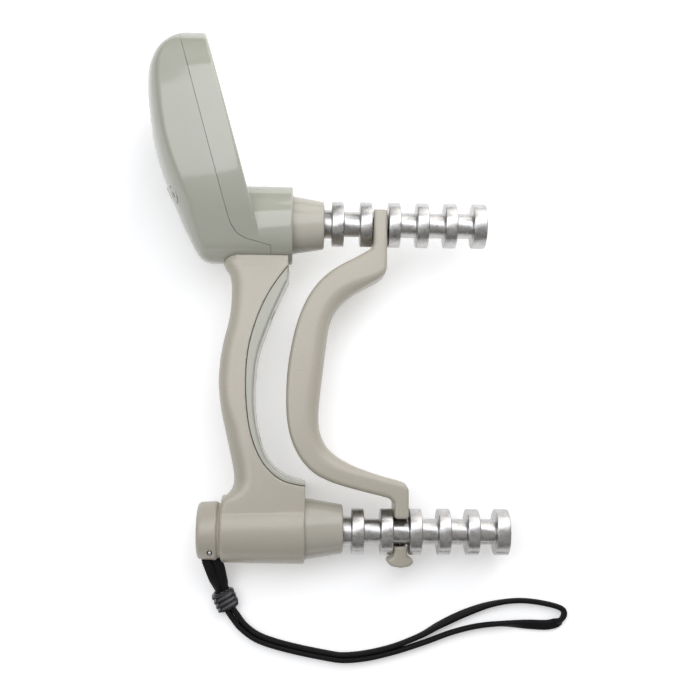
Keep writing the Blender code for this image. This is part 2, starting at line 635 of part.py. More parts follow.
# --- adjustable handle -----------------------------------------------------
HANDLE = [
    (10.7, 62.4), (10.7, 47.0), (9.6, 44.6), (3.0, 40.9), (-4.3, 37.0), (-9.7, 33.2), (-14.2, 28.6),
    (-18.0, 23.0), (-20.9, 16.8), (-22.9, 11.0), (-24.8, 3.0), (-26.6, -8.5), (-27.2, -20.0), (-26.9, -29.0),
    (-25.9, -36.0), (-23.8, -42.5), (-20.3, -48.8), (-15.2, -54.2), (-9.2, -57.6), (-0.5, -60.6),
    (18.5, -65.4), (20.6, -67.4), (20.6, -73.6), (21.4, FOOT_Y),
    (26.1, FOOT_Y), (26.9, -73.6), (26.9, -61.5), (25.2, -58.6),
    (12.0, -54.9), (2.6, -51.4), (-3.8, -48.0), (-8.0, -44.5), (-10.7, -40.6), (-12.4, -35.5), (-12.8, -29.5),
    (-12.3, -21.0), (-11.1, -10.5), (-9.8, 1.0), (-8.6, 9.4), (-6.6, 15.4), (-3.3, 20.2), (1.5, 24.4),
    (7.0, 27.8), (13.0, 31.2), (16.0, 33.6), (16.9, 35.8), (16.9, 62.4)]


def build_handle():
    """The moving casting: a fork over the upper post and a sprung hook on the lower."""
    pivot = (0.0, UPPER_Y, 0.0)
    hard = {0: 0.35, 1: 0.6, 21: 0.3, 22: 0.3, 23: 0.3, 24: 0.3, 25: 0.3, 26: 0.3, 45: 0.6, 46: 0.35}
    weights = [hard.get(i, 1.0) for i in range(len(HANDLE))]
    handle = solid("handle", slab_bmesh(HANDLE, HANDLE_HALF, 3.0, 3, weights), PAINT, pivot)
    bend = 5.98
    slot = lathe_bmesh([(0.0, bend), (30.0, bend)], (UPPER_Y, 0.0), segments=28)
    boolean(handle, "fork_seat", slot)
    boolean(handle, "fork_slot", box_bmesh((0.0, 30.0), (UPPER_Y, 80.0), (-bend, bend)))
    left, right = HOOK_X
    web = box_bmesh((left, right), (-94.0, -70.0), (-HANDLE_HALF, -6.2))
    boolean(handle, "hook_web", web, "UNION")
    jaw = [(left, JAW_Y), (right, JAW_Y), (right, -91.0), (29.2, -92.2), (29.6, -93.6), (28.0, -95.2),
           (24.0, -96.0), (19.6, -95.2), (17.9, -93.6), (18.3, -92.2), (left, -91.0)]
    jaw_bm = slab_bmesh([(x, y) for x, y in jaw], 6.6, 0.9, 2, shift=-2.8)
    boolean(handle, "hook_jaw", jaw_bm, "UNION")
    middle = (left + right) / 2
    bore = lathe_bmesh([(JAW_Y - 5.2, 1.75), (JAW_Y + 3.0, 1.75)], (middle, 0.0), "Y", 16)
    boolean(handle, "ball_bore", bore)
    ball_r = 1.6
    centre = LOWER_Y - NECK_R - 0.12 - ball_r
    profile = []
    for k in range(7):
        angle = math.pi * k / 6
        profile.append((centre - ball_r * math.cos(angle), ball_r * math.sin(angle)))
    profile[-1] = (profile[-1][0], 0.0)
    solid("detent_ball", lathe_bmesh(profile, (middle, 0.0), "Y", 14), STEEL, (middle, centre, 0.0))
    bottom = JAW_Y - 5.0
    top = centre - ball_r - 0.7
    coil = tube_bmesh([(bottom, 0.8), (bottom, 1.5), (top, 1.5), (top, 0.8)], (middle, 0.0), "Z", 12)
    turn = Matrix(((1, 0, 0, 0), (0, 0, 1, 0), (0, 1, 0, 0), (0, 0, 0, 1)))
    bmesh.ops.transform(coil, matrix=turn, verts=coil.verts)
    solid("detent_spring", coil, STEEL, (middle, centre, 0.0))


# --- cable, strap and screws -----------------------------------------------
CABLE = [
    (-28.0, -73.3, 0.0), (-28.0, -69.5, 0.0), (-29.0, -65.5, 0.2), (-32.0, -61.3, 0.8), (-36.8, -55.5, 3.0),
    (-41.3, -48.5, 5.4), (-45.4, -36.0, 5.8), (-48.5, -20.0, 5.8), (-49.0, -6.0, 5.8), (-46.2, 8.0, 5.8),
    (-43.0, 17.0, 5.6), (-40.6, 24.0, 5.6), (-40.0, 30.0, 5.6), (-40.0, 37.0, 5.6), (-40.0, 40.5, 5.6),
    (-42.5, 43.8, 5.6), (-48.0, 45.0, 5.6), (-53.0, 47.5, 5.0), (-57.0, 52.5, 2.5), (-60.0, 58.5, 0.0)]
CABLE_R = 1.2
STRAP_R = 1.1
STRAP_LIE = 2.2
STRAP_OUT = [
    (-52.5, -108.4, 14.2), (-52.2, -112.6, 13.7), (-50.0, -118.0, 12.1), (-48.3, -122.5, 9.4),
    (-46.7, -126.8, 6.9), (-44.9, -131.0, 4.8), (-43.0, -135.2, 3.1), (-40.6, -138.8, 2.4)]
STRAP_LOOP = [
    (-36.2, -143.9), (-28.6, -148.9), (-15.2, -152.8), (2.3, -156.4), (10.0, -157.2), (20.3, -156.2),
    (32.4, -153.4), (45.0, -149.3), (57.3, -144.9), (68.6, -142.2), (80.0, -141.1), (92.0, -141.4),
    (101.0, -141.6), (106.2, -140.0), (108.5, -136.8), (106.4, -134.0), (96.0, -131.6), (85.8, -131.1),
    (74.4, -132.9), (63.1, -136.7), (51.8, -141.8), (43.5, -146.3), (31.6, -150.7), (19.7, -153.4),
    (9.7, -154.4), (2.9, -153.7), (-14.6, -150.2), (-26.9, -146.4), (-33.7, -141.8)]
STRAP_BACK = [
    (-38.1, -137.1, 2.4), (-40.5, -133.9, 3.1), (-42.4, -130.0, 4.8), (-43.9, -125.6, 7.0),
    (-44.9, -121.3, 9.6), (-45.8, -116.8, 12.3), (-46.8, -113.2, 13.6), (-46.8, -108.4, 14.2)]
KEEPER_AT = (-43.65, -130.5, 4.85)
KEEPER_ALONG = (0.371, -0.842, -0.385)


def even_path(points, spacing):
    """The smooth curve through a route's points, with about one point per spacing."""
    fine = smooth_path(points, 8)
    path = []
    for k in range(len(points) - 1):
        span = fine[8 * k:8 * k + 9]
        length = sum((b - a).length for a, b in zip(span, span[1:]))
        steps = min(8, max(1, round(length / spacing)))
        path += [span[round(8 * i / steps)] for i in range(steps)]
    path.append(fine[-1])
    return path


def build_strap():
    """The wrist strap, one band out to its tip and back, and the keeper round both runs."""
    route = STRAP_OUT + [(x, y, STRAP_LIE) for x, y in STRAP_LOOP] + STRAP_BACK
    tube_curve("wrist_strap", even_path(route, 5.2), STRAP_R, 2, BLACK_WEB, False)
    outline = [(-4.4, -2.0), (-3.4, -3.0), (3.4, -3.0), (4.4, -2.0),
               (4.4, 2.0), (3.4, 3.0), (-3.4, 3.0), (-4.4, 2.0)]
    block = slab_bmesh(outline, 4.6, 0.6, 2)
    hole = box_bmesh((-3.1, 3.1), (-1.8, 1.8), (-8.0, 8.0))
    along = Vector(KEEPER_ALONG).normalized()
    across = Vector((0.0, 0.0, 1.0)).cross(along).normalized()
    up = along.cross(across)
    turn = Matrix((across, up, along)).transposed().to_4x4()
    seat = INSTRUMENT_PLACE.inverted() @ Matrix.Translation(KEEPER_AT) @ turn
    for bm in (block, hole):
        bmesh.ops.transform(bm, matrix=seat, verts=bm.verts)
    keeper = solid("strap_keeper", block, KEEPER)
    boolean(keeper, "keeper_hole", hole)


def tube_curve(name, points, radius, resolution, finish, parent_frame=True):
    """A round tube along a poly line, with closed ends."""
    curve = bpy.data.curves.new(name, "CURVE")
    curve.dimensions = "3D"
    curve.bevel_depth = radius * MM
    curve.bevel_resolution = resolution
    curve.render_resolution_u = 0
    curve.use_fill_caps = True
    spline = curve.splines.new("POLY")
    spline.points.add(len(points) - 1)
    for spot, point in zip(spline.points, points):
        spot.co = (point[0] * MM, point[1] * MM, point[2] * MM, 1.0)
    obj = bpy.data.objects.new(name, curve)
    curve.materials.append(material(finish))
    bpy.context.scene.collection.objects.link(obj)
    if parent_frame:
        obj.parent = INSTRUMENT
    return obj


def build_screws():
    """The four screws that hold the rear cover."""
    for k, (y, z) in enumerate(SCREW_SPOTS):
        base = Vector((back_line(y), y, z)) - BACK_NORMAL * 0.05
        screw = aimed_lathe(screw_profile(0.0, -16.0, 2.6, 1.2, 1.3), base, BACK_NORMAL, 12)
        solid("cover_screw_%d" % (k + 1), screw, STEEL)


for leftover in list(bpy.data.objects):
    bpy.data.objects.remove(leftover)
INSTRUMENT = bpy.data.objects.new("instrument", None)
INSTRUMENT.location = Vector((ORIGIN_X, ORIGIN_Y, ORIGIN_Z)) * MM
INSTRUMENT.rotation_euler.x = math.radians(LIE_DEG)
INSTRUMENT_PLACE = (Matrix.Translation((ORIGIN_X, ORIGIN_Y, ORIGIN_Z))
                    @ Matrix.Rotation(math.radians(LIE_DEG), 4, "X"))
bpy.context.scene.collection.objects.link(INSTRUMENT)

build_head()
build_tray()
build_grip(build_posts())
build_handle()
build_screws()
build_strap()
tube_curve("cell_cable", even_path(CABLE, 2.6), CABLE_R, 2, RUBBER)
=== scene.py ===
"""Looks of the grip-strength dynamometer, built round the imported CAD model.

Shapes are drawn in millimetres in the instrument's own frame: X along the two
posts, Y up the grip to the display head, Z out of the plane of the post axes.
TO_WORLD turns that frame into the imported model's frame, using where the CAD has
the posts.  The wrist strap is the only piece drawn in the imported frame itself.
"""
import math

import bmesh
import bpy
import numpy as np
from mathutils import Matrix, Vector


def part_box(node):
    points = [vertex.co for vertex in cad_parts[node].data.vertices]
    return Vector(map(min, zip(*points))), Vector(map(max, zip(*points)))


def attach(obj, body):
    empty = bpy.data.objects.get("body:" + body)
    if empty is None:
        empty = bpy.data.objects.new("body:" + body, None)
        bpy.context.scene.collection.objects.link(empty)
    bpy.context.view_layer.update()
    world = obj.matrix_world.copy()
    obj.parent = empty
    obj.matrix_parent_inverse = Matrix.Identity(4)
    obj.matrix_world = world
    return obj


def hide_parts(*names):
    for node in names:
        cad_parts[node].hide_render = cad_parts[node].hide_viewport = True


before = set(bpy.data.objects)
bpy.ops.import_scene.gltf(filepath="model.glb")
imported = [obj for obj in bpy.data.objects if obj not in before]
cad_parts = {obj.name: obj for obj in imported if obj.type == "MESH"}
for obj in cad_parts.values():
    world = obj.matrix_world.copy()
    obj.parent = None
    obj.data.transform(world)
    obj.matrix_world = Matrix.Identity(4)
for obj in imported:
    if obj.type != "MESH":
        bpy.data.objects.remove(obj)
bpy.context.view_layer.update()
MM = 0.001

# --- the instrument's frame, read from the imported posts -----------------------
UPPER_Y = 56.95
LOWER_Y = -80.35


def box_centre(node):
    low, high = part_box(node)
    return (low + high) / 2


UPPER_AT = box_centre("upper_post")
LOWER_AT = box_centre("lower_post")
LIE = math.atan2(UPPER_AT.z - LOWER_AT.z, UPPER_AT.y - LOWER_AT.y)
POST_END = 61.7
TURN = Matrix.Rotation(LIE, 4, "X")
CORNER = Vector((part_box("upper_post")[1].x, UPPER_AT.y, UPPER_AT.z))
FRAME_MATRIX = Matrix.Translation(CORNER) @ TURN @ Matrix.Translation(Vector((-POST_END, -UPPER_Y, 0.0)) * MM)
TO_WORLD = FRAME_MATRIX @ Matrix.Scale(MM, 4)

# --- driving dimensions, millimetres ------------------------------------------
BOSS_Y = 55.76
BOSS_R = 17.5
BOSS_END = -25.2
HEAD_TOP = 136.6
HEAD_SHOULDER = 36.85
HEAD_CORNER_R = 20.0
HEAD_WALL = 2.4
BACK_X = -47.2
BACK_Y = 76.6
BACK_SLOPE = -0.28
PARTING_DEPTH = 11.4
BACK_NORMAL = Vector((1.0, -BACK_SLOPE, 0.0)).normalized()
SCREW_SPOTS = [(60.0, 12.0), (60.0, -12.0), (127.0, 18.0), (127.0, -18.0)]
DOOR_Y = (90.0, 120.0)
DOOR_HALF = 25.0
WINDOW_Y = (92.0, 122.0)
WINDOW_HALF = 23.0
BUTTON_R = 3.8
BARREL_Y = -79.3
BARREL_MOUTH = -18.3
BARREL_BACK = -54.9
LUG_Y = -80.3
LUG_END = -65.2
PIN_X = -59.2
PIN_Y = -89.0
PIN_R = 1.2
HANDLE_HALF = 9.4


# --- mesh helpers --------------------------------------------------------------
def new_piece(name, verts, faces, sharp=32.0):
    """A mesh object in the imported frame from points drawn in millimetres."""
    mesh = bpy.data.meshes.new(name)
    mesh.from_pydata([tuple(v) for v in verts], [], [tuple(f) for f in faces])
    mesh.transform(TO_WORLD)
    mesh.validate()
    obj = bpy.data.objects.new(name, mesh)
    bpy.context.scene.collection.objects.link(obj)
    tidy_normals(obj, sharp)
    return obj


def tidy_normals(obj, sharp=32.0):
    """Faces outwards, smooth shading, and sharp edges past an angle."""
    bm = bmesh.new()
    bm.from_mesh(obj.data)
    bmesh.ops.recalc_face_normals(bm, faces=bm.faces)
    bm.to_mesh(obj.data)
    bm.free()
    obj.data.shade_smooth()
    obj.data.set_sharp_from_angle(angle=math.radians(sharp))
    return obj


def skin(rings, closed=True, caps=True):
    """Points and faces of equal rings joined in a row."""
    count = len(rings[0])
    verts = [p for ring in rings for p in ring]
    faces = []
    turns = len(rings) if not caps else len(rings) - 1
    for k in range(turns):
        low = k * count
        high = ((k + 1) % len(rings)) * count
        for i in range(count if closed else count - 1):
            j = (i + 1) % count
            faces.append((low + i, low + j, high + j, high + i))
    if caps:
        faces.append(tuple(range(count)))
        faces.append(tuple(range((len(rings) - 1) * count, len(rings) * count)))
    return verts, faces


def lathe(profile, centre, segments=128, axis="X"):
    """Turn a closed or open (along, radius) profile; a closed one misses the axis."""
    closed = profile[0][1] > 0 and profile[-1][1] > 0
    verts = []
    faces = []
    rows = []
    for along, radius in profile:
        if radius <= 0:
            rows.append([len(verts)])
            verts.append(spun(along, 0.0, 0.0, centre, axis))
            continue
        row = []
        for i in range(segments):
            row.append(len(verts))
            verts.append(spun(along, radius, math.tau * i / segments, centre, axis))
        rows.append(row)
    pairs = list(zip(rows, rows[1:]))
    if closed:
        pairs.append((rows[-1], rows[0]))
    for low, high in pairs:
        for i in range(segments):
            j = (i + 1) % segments
            corners = [low[i % len(low)], low[j % len(low)], high[j % len(high)], high[i % len(high)]]
            unique = list(dict.fromkeys(corners))
            if len(unique) > 2:
                faces.append(tuple(unique))
    return verts, faces


def spun(along, radius, angle, centre, axis):
    across = radius * math.cos(angle)
    up = radius * math.sin(angle)
    if axis == "X":
        return (along, centre[0] + across, centre[1] + up)
    if axis == "Y":
        return (centre[0] + across, along, centre[1] + up)
    return (centre[0] + across, centre[1] + up, along)


def rounded(points, radius, steps=5, closed=False):
    """A 2D line with its corners rounded; radius is a number or one per corner."""
    count = len(points)
    line = []
    for i, point in enumerate(points):
        size = radius if isinstance(radius, (int, float)) else radius[i]
        here = Vector(point)
        before = Vector(points[i - 1]) - here
        after = Vector(points[(i + 1) % count]) - here
        ends = not closed and i in (0, count - 1)
        if size <= 0 or ends or before.normalized().dot(after.normalized()) < -0.999:
            line.append(tuple(point))
            continue
        one = before.normalized()
        two = after.normalized()
        half = math.acos(one.dot(two)) / 2
        reach = min(size / math.tan(half), 0.49 * before.length, 0.49 * after.length)
        size = reach * math.tan(half)
        middle = here + (one + two).normalized() * (size / math.sin(half))
        start = here + one * reach - middle
        end = here + two * reach - middle
        first = math.atan2(start.y, start.x)
        sweep = (math.atan2(end.y, end.x) - first + math.pi) % math.tau - math.pi
        for k in range(steps + 1):
            angle = first + sweep * k / steps
            line.append((middle.x + size * math.cos(angle), middle.y + size * math.sin(angle)))
    return line


def spline(points, spacing):
    """A Catmull-Rom curve through points, with about one point per spacing."""
    points = [Vector(p) for p in points]
    ends = [2 * points[0] - points[1]] + points + [2 * points[-1] - points[-2]]
    line = []
    for a, b, c, d in zip(ends, ends[1:], ends[2:], ends[3:]):
        steps = max(1, math.ceil((c - b).length / spacing))
        for k in range(steps):
            t = k / steps
            line.append(0.5 * (2 * b + (c - a) * t + (2 * a - 5 * b + 4 * c - d) * t * t
                               + (3 * b - a - 3 * c + d) * t ** 3))
    line.append(points[-1])
    return [tuple(p) for p in line]


def modify(obj, kind, **settings):
    """Add a modifier, apply it to the mesh, and leave none behind."""
    modifier = obj.modifiers.new("step", kind)
    for key, value in settings.items():
        setattr(modifier, key, value)
    graph = bpy.context.evaluated_depsgraph_get()
    mesh = bpy.data.meshes.new_from_object(obj.evaluated_get(graph))
    old = obj.data
    obj.modifiers.clear()
    obj.data = mesh
    bpy.data.meshes.remove(old)
    return obj


def drop(obj):
    mesh = obj.data
    bpy.data.objects.remove(obj)
    bpy.data.meshes.remove(mesh)


def combine(obj, tools, operation="DIFFERENCE", keep=False):
    """Exact Boolean of one piece with one or several tools."""
    for tool in tools:
        modify(obj, "BOOLEAN", object=tool, operation=operation, solver="EXACT")
        if not keep:
            drop(tool)
    return obj


def tool(verts_faces):
    verts, faces = verts_faces
    return new_piece("tool", verts, faces)


def prism(outline, low, high):
    """A straight block between two Z levels."""
    return skin([[(x, y, z) for x, y in outline] for z in (low, high)])


def block(x, y, z):
    return prism([(x[0], y[0]), (x[1], y[0]), (x[1], y[1]), (x[0], y[1])], z[0], z[1])


def aimed(verts_faces, base, direction):
    """Move a piece drawn round Z at the origin to a base and a direction."""
    verts, faces = verts_faces
    turn = Vector((0.0, 0.0, 1.0)).rotation_difference(Vector(direction)).to_matrix()
    return [tuple(turn @ Vector(v) + Vector(base)) for v in verts], faces


def smooth_mesh(obj, rounds):
    """Even out a dense mesh, each round moving a point halfway to its neighbours' mean."""
    mesh = obj.data
    count = len(mesh.vertices)
    points = np.empty(count * 3)
    mesh.vertices.foreach_get("co", points)
    points = points.reshape(-1, 3)
    edges = np.empty(len(mesh.edges) * 2, int)
    mesh.edges.foreach_get("vertices", edges)
    edges = edges.reshape(-1, 2)
    near = np.bincount(edges.ravel(), minlength=count)[:, None]
    for _ in range(rounds):
        total = np.zeros((count, 3))
        for k in range(3):
            total[:, k] = (np.bincount(edges[:, 0], points[edges[:, 1], k], count)
                           + np.bincount(edges[:, 1], points[edges[:, 0], k], count))
        points += 0.5 * (total / near - points)
    mesh.vertices.foreach_set("co", points.ravel())
    mesh.update()
    return obj


# --- materials -------------------------------------------------------------------
def srgb(red, green, blue):
    """Linear colour from the usual 0 to 255 values."""
    out = []
    for value in (red, green, blue):
        share = value / 255
        out.append(share / 12.92 if share <= 0.04045 else ((share + 0.055) / 1.055) ** 2.4)
    return (*out, 1.0)


class Shader:
    """A small helper that wires a Principled material."""

    def __init__(self, name, roughness=0.4, metallic=0.0, **inputs):
        self.material = bpy.data.materials.new(name)
        self.material.use_nodes = True
        self.tree = self.material.node_tree
        self.shader = self.tree.nodes["Principled BSDF"]
        self.shader.inputs["Roughness"].default_value = roughness
        self.shader.inputs["Metallic"].default_value = metallic
        for key, value in inputs.items():
            label = key.replace("_", " ").title().replace("Ior", "IOR")
            self.shader.inputs[label].default_value = value
        self.bumps = None

    def node(self, kind, **settings):
        made = self.tree.nodes.new(kind)
        for key, value in settings.items():
            setattr(made, key, value)
        return made

    def link(self, out, into):
        self.tree.links.new(out, into)

    def coordinates(self, scale, turn=(0.0, 0.0, 0.0)):
        source = self.node("ShaderNodeTexCoord")
        mapping = self.node("ShaderNodeMapping")
        mapping.inputs["Scale"].default_value = scale
        mapping.inputs["Rotation"].default_value = turn
        self.link(source.outputs["Object"], mapping.inputs["Vector"])
        return mapping.outputs["Vector"]

    def noise(self, scale, detail=2.0, roughness=0.5, vector=None, distortion=0.0):
        made = self.node("ShaderNodeTexNoise")
        made.inputs["Scale"].default_value = scale
        made.inputs["Detail"].default_value = detail
        made.inputs["Roughness"].default_value = roughness
        made.inputs["Distortion"].default_value = distortion
        self.link(vector or self.coordinates((1.0, 1.0, 1.0)), made.inputs["Vector"])
        return made.outputs["Fac"]

    def remap(self, value, low, high, into_low, into_high):
        made = self.node("ShaderNodeMapRange")
        made.inputs["From Min"].default_value = low
        made.inputs["From Max"].default_value = high
        made.inputs["To Min"].default_value = into_low
        made.inputs["To Max"].default_value = into_high
        self.link(value, made.inputs["Value"])
        return made.outputs["Result"]

    def math(self, operation, one, two=None):
        made = self.node("ShaderNodeMath", operation=operation)
        for socket, value in zip(made.inputs, (one, two)):
            if value is None:
                continue
            if isinstance(value, (int, float)):
                socket.default_value = value
            else:
                self.link(value, socket)
        return made.outputs["Value"]

    def colour(self, value, low, high, start=0.0, end=1.0):
        """Colour between two values of a field, into the base colour."""
        ramp = self.node("ShaderNodeValToRGB")
        ramp.color_ramp.elements[0].position = start
        ramp.color_ramp.elements[0].color = low
        ramp.color_ramp.elements[1].position = end
        ramp.color_ramp.elements[1].color = high
        self.link(value, ramp.inputs["Fac"])
        self.link(ramp.outputs["Color"], self.shader.inputs["Base Color"])
        return ramp.outputs["Color"]

    def roughness(self, value):
        self.link(value, self.shader.inputs["Roughness"])

    def bump(self, height, strength, distance):
        """Adds a layer of relief over the ones before it."""
        made = self.node("ShaderNodeBump")
        made.inputs["Strength"].default_value = strength
        made.inputs["Distance"].default_value = distance
        self.link(height, made.inputs["Height"])
        if self.bumps is not None:
            self.link(self.bumps, made.inputs["Normal"])
        self.bumps = made.outputs["Normal"]
        self.link(self.bumps, self.shader.inputs["Normal"])


def moulded_plastic(name, low, high, gloss, level=0.66):
    """Smooth injection-moulded plastic: faint mottling, orange peel and fine haze."""
    s = Shader(name, roughness=gloss, ior=1.5, specular_ior_level=level)
    mottle = s.noise(45.0, 3.0, 0.55)
    s.colour(mottle, low, high, 0.3, 0.7)
    haze = s.noise(900.0, 3.0, 0.6)
    s.roughness(s.remap(haze, 0.3, 0.7, gloss * 0.85, gloss * 1.2))
    s.bump(s.noise(260.0, 1.0, 0.4), 0.05, 0.0004)
    s.bump(s.noise(2600.0, 2.0, 0.5), 0.06, 0.00005)
    return s.material


def powder_paint(name, low, high):
    """Satin powder coat on a casting: fine pebbled grain and slight tone drift."""
    s = Shader(name, roughness=0.32, ior=1.5, specular_ior_level=0.54)
    drift = s.noise(28.0, 4.0, 0.6)
    s.colour(drift, low, high, 0.3, 0.72)
    grain = s.noise(1500.0, 2.0, 0.5)
    s.roughness(s.remap(grain, 0.3, 0.7, 0.26, 0.38))
    s.bump(grain, 0.16, 0.00006)
    s.bump(s.noise(320.0, 2.0, 0.5), 0.10, 0.0003)
    return s.material


def turned_metal():
    """Bright turned aluminium: tool lines round the axis and small dulled patches."""
    s = Shader("turned_aluminium", roughness=0.3, metallic=1.0)
    lines = s.noise(1.0, 4.0, 0.75, s.coordinates((4200.0, 90.0, 90.0)))
    patches = s.noise(420.0, 5.0, 0.7)
    s.colour(patches, srgb(172, 170, 169), srgb(204, 203, 201), 0.3, 0.65)
    rough = s.math("ADD", s.remap(lines, 0.3, 0.7, 0.20, 0.34), s.remap(patches, 0.35, 0.7, 0.0, 0.14))
    s.roughness(rough)
    s.bump(lines, 0.40, 0.00005)
    s.bump(patches, 0.18, 0.0002)
    return s.material


def plain_steel():
    s = Shader("steel_hardware", roughness=0.25, metallic=1.0)
    marks = s.noise(1500.0, 3.0, 0.6)
    s.colour(marks, srgb(168, 168, 170), srgb(205, 205, 206), 0.3, 0.7)
    s.roughness(s.remap(marks, 0.3, 0.7, 0.18, 0.36))
    s.bump(marks, 0.08, 0.00004)
    return s.material


def simple(name, low, high, roughness, scale=400.0, metallic=0.0, relief=0.1):
    """A quiet finish for a small or hidden piece, with grain in colour and relief."""
    s = Shader(name, roughness=roughness, metallic=metallic)
    grain = s.noise(scale, 3.0, 0.55)
    s.colour(grain, low, high, 0.3, 0.7)
    s.roughness(s.remap(grain, 0.3, 0.7, roughness * 0.85, min(1.0, roughness * 1.15)))
    s.bump(grain, relief, 0.0001)
    return s.material


PLASTIC = moulded_plastic("housing_plastic", srgb(162, 162, 150), srgb(165, 165, 153), 0.12, 0.5)
KEY_PLASTIC = moulded_plastic("button_plastic", srgb(155, 155, 143), srgb(158, 158, 146), 0.14)
PAINT = powder_paint("painted_casting", srgb(171, 165, 151), srgb(176, 170, 156))
METAL = turned_metal()
STEEL = plain_steel()
BOARD = simple("circuit_board", srgb(18, 74, 44), srgb(28, 96, 58), 0.35)
SILICONE = simple("silicone_mat", srgb(122, 124, 128), srgb(134, 136, 140), 0.6)
TRAY = simple("tray_plastic", srgb(38, 38, 40), srgb(48, 48, 50), 0.45)
CELL = simple("battery_cell", srgb(30, 32, 38), srgb(40, 42, 50), 0.3)
SHEATH = simple("cable_sheath", srgb(26, 26, 27), srgb(36, 36, 37), 0.5)
PLASTIC_REAR = moulded_plastic("rear_plastic", srgb(160, 161, 148), srgb(163, 164, 151), 0.11)
PLASTIC_BOOT = moulded_plastic("boot_plastic", srgb(171, 167, 155), srgb(175, 171, 159), 0.16, 0.42)
GREY_PRINT = simple("grey_print", srgb(96, 97, 92), srgb(104, 105, 100), 0.4)
DARK_PRINT = simple("dark_print", srgb(30, 32, 34), srgb(38, 40, 42), 0.5)
DISPLAY = simple("display_panel", srgb(150, 160, 138), srgb(158, 168, 146), 0.3)


def clear_window():
    """Clear moulded lens with a faint smoky tint and fine surface haze."""
    s = Shader("display_window", roughness=0.05, transmission_weight=0.9, ior=1.49)
    haze = s.noise(700.0, 2.0, 0.5)
    s.colour(haze, srgb(196, 202, 200), srgb(206, 212, 210), 0.3, 0.7)
    s.roughness(s.remap(haze, 0.3, 0.7, 0.03, 0.08))
    s.bump(haze, 0.03, 0.00005)
    return s.material


LENS = clear_window()


def finish_piece(obj, material, slot, body, *nodes):
    """Give a piece its material, its body and the nodes it stands for; the slot argument is not used."""
    obj.data.materials.clear()
    obj.data.materials.append(material)
    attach(obj, body)
    if nodes:
        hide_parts(*nodes)
    return obj


# --- camera, lights and floor -------------------------------------------------------
def build_camera():
    camera = bpy.data.objects.new("camera", bpy.data.cameras.new("camera"))
    camera.data.sensor_width = 36.0
    camera.data.lens = 53.5
    camera.data.clip_start = 0.01
    tilt = (Matrix.Rotation(math.radians(0.47), 4, "Z") @ Matrix.Rotation(math.radians(-2.43), 4, "Y")
            @ Matrix.Rotation(math.radians(4.61), 4, "X"))
    camera.matrix_world = FRAME_MATRIX @ Matrix.Translation(Vector((-18.4, -37.6, 464.1)) * MM) @ tilt
    bpy.context.scene.collection.objects.link(camera)
    bpy.context.scene.camera = camera


def area_light(name, centre, target, size, energy, turn=0.0, colour=(1.0, 1.0, 1.0)):
    light = bpy.data.lights.new(name, "AREA")
    light.shape = "RECTANGLE"
    light.size, light.size_y = size
    light.energy = energy
    light.color = colour
    obj = bpy.data.objects.new(name, light)
    bpy.context.scene.collection.objects.link(obj)
    start = FRAME_MATRIX @ (Vector(centre) * MM)
    aim = FRAME_MATRIX @ (Vector(target) * MM)
    rotation = (aim - start).to_track_quat("-Z", "Y").to_matrix().to_4x4()
    obj.matrix_world = Matrix.Translation(start) @ rotation @ Matrix.Rotation(turn, 4, "Z")
    obj.visible_camera = False
    return obj


def build_world():
    """A dim studio: dark walls round the table, and a pale ceiling."""
    world = bpy.data.worlds.new("studio")
    bpy.context.scene.world = world
    world.use_nodes = True
    tree = world.node_tree
    back = tree.nodes["Background"]
    source = tree.nodes.new("ShaderNodeTexCoord")
    split = tree.nodes.new("ShaderNodeSeparateXYZ")
    ramp = tree.nodes.new("ShaderNodeValToRGB")
    tree.links.new(source.outputs["Generated"], split.inputs["Vector"])
    tree.links.new(split.outputs["Z"], ramp.inputs["Fac"])
    tree.links.new(ramp.outputs["Color"], back.inputs["Color"])
    ramp.color_ramp.elements[0].position = 0.1
    ramp.color_ramp.elements[0].color = (0.08, 0.08, 0.08, 1.0)
    ramp.color_ramp.elements[1].position = 0.75
    ramp.color_ramp.elements[1].color = (0.42, 0.415, 0.41, 1.0)
    back.inputs["Strength"].default_value = 1.0


def build_floor():
    size = 3000.0
    level = 0.0
    mesh = bpy.data.meshes.new("floor")
    half = size / 2 * MM
    mesh.from_pydata([(-half, -half, level), (half, -half, level), (half, half, level), (-half, half, level)],
                     [], [(0, 1, 2, 3)])
    floor = bpy.data.objects.new("floor", mesh)
    bpy.context.scene.collection.objects.link(floor)
    s = Shader("white_sweep", roughness=0.7, specular_ior_level=0.2)
    s.shader.inputs["Base Color"].default_value = (0.93, 0.93, 0.93, 1.0)
    s.shader.inputs["Emission Color"].default_value = (1.0, 1.0, 1.0, 1.0)
    source = s.node("ShaderNodeTexCoord")
    spread = s.node("ShaderNodeVectorMath", operation="LENGTH")
    s.link(source.outputs["Object"], spread.inputs[0])
    s.link(s.remap(spread.outputs["Value"], 0.10, 0.40, 0.25, 0.80), s.shader.inputs["Emission Strength"])
    mesh.materials.append(s.material)


build_camera()
build_world()
build_floor()
area_light("softbox", (40.0, 162.0, 325.0), (40.0, 162.0, 0.0), (0.80, 0.235), 1.55,
           math.radians(36.0), (0.93, 0.95, 1.0))
area_light("side_fill", (260.0, 520.0, 200.0), (0.0, 0.0, 0.0), (0.50, 0.40), 1.25,
           0.0, (1.0, 0.99, 0.97))
bpy.context.scene.view_settings.view_transform = "Standard"


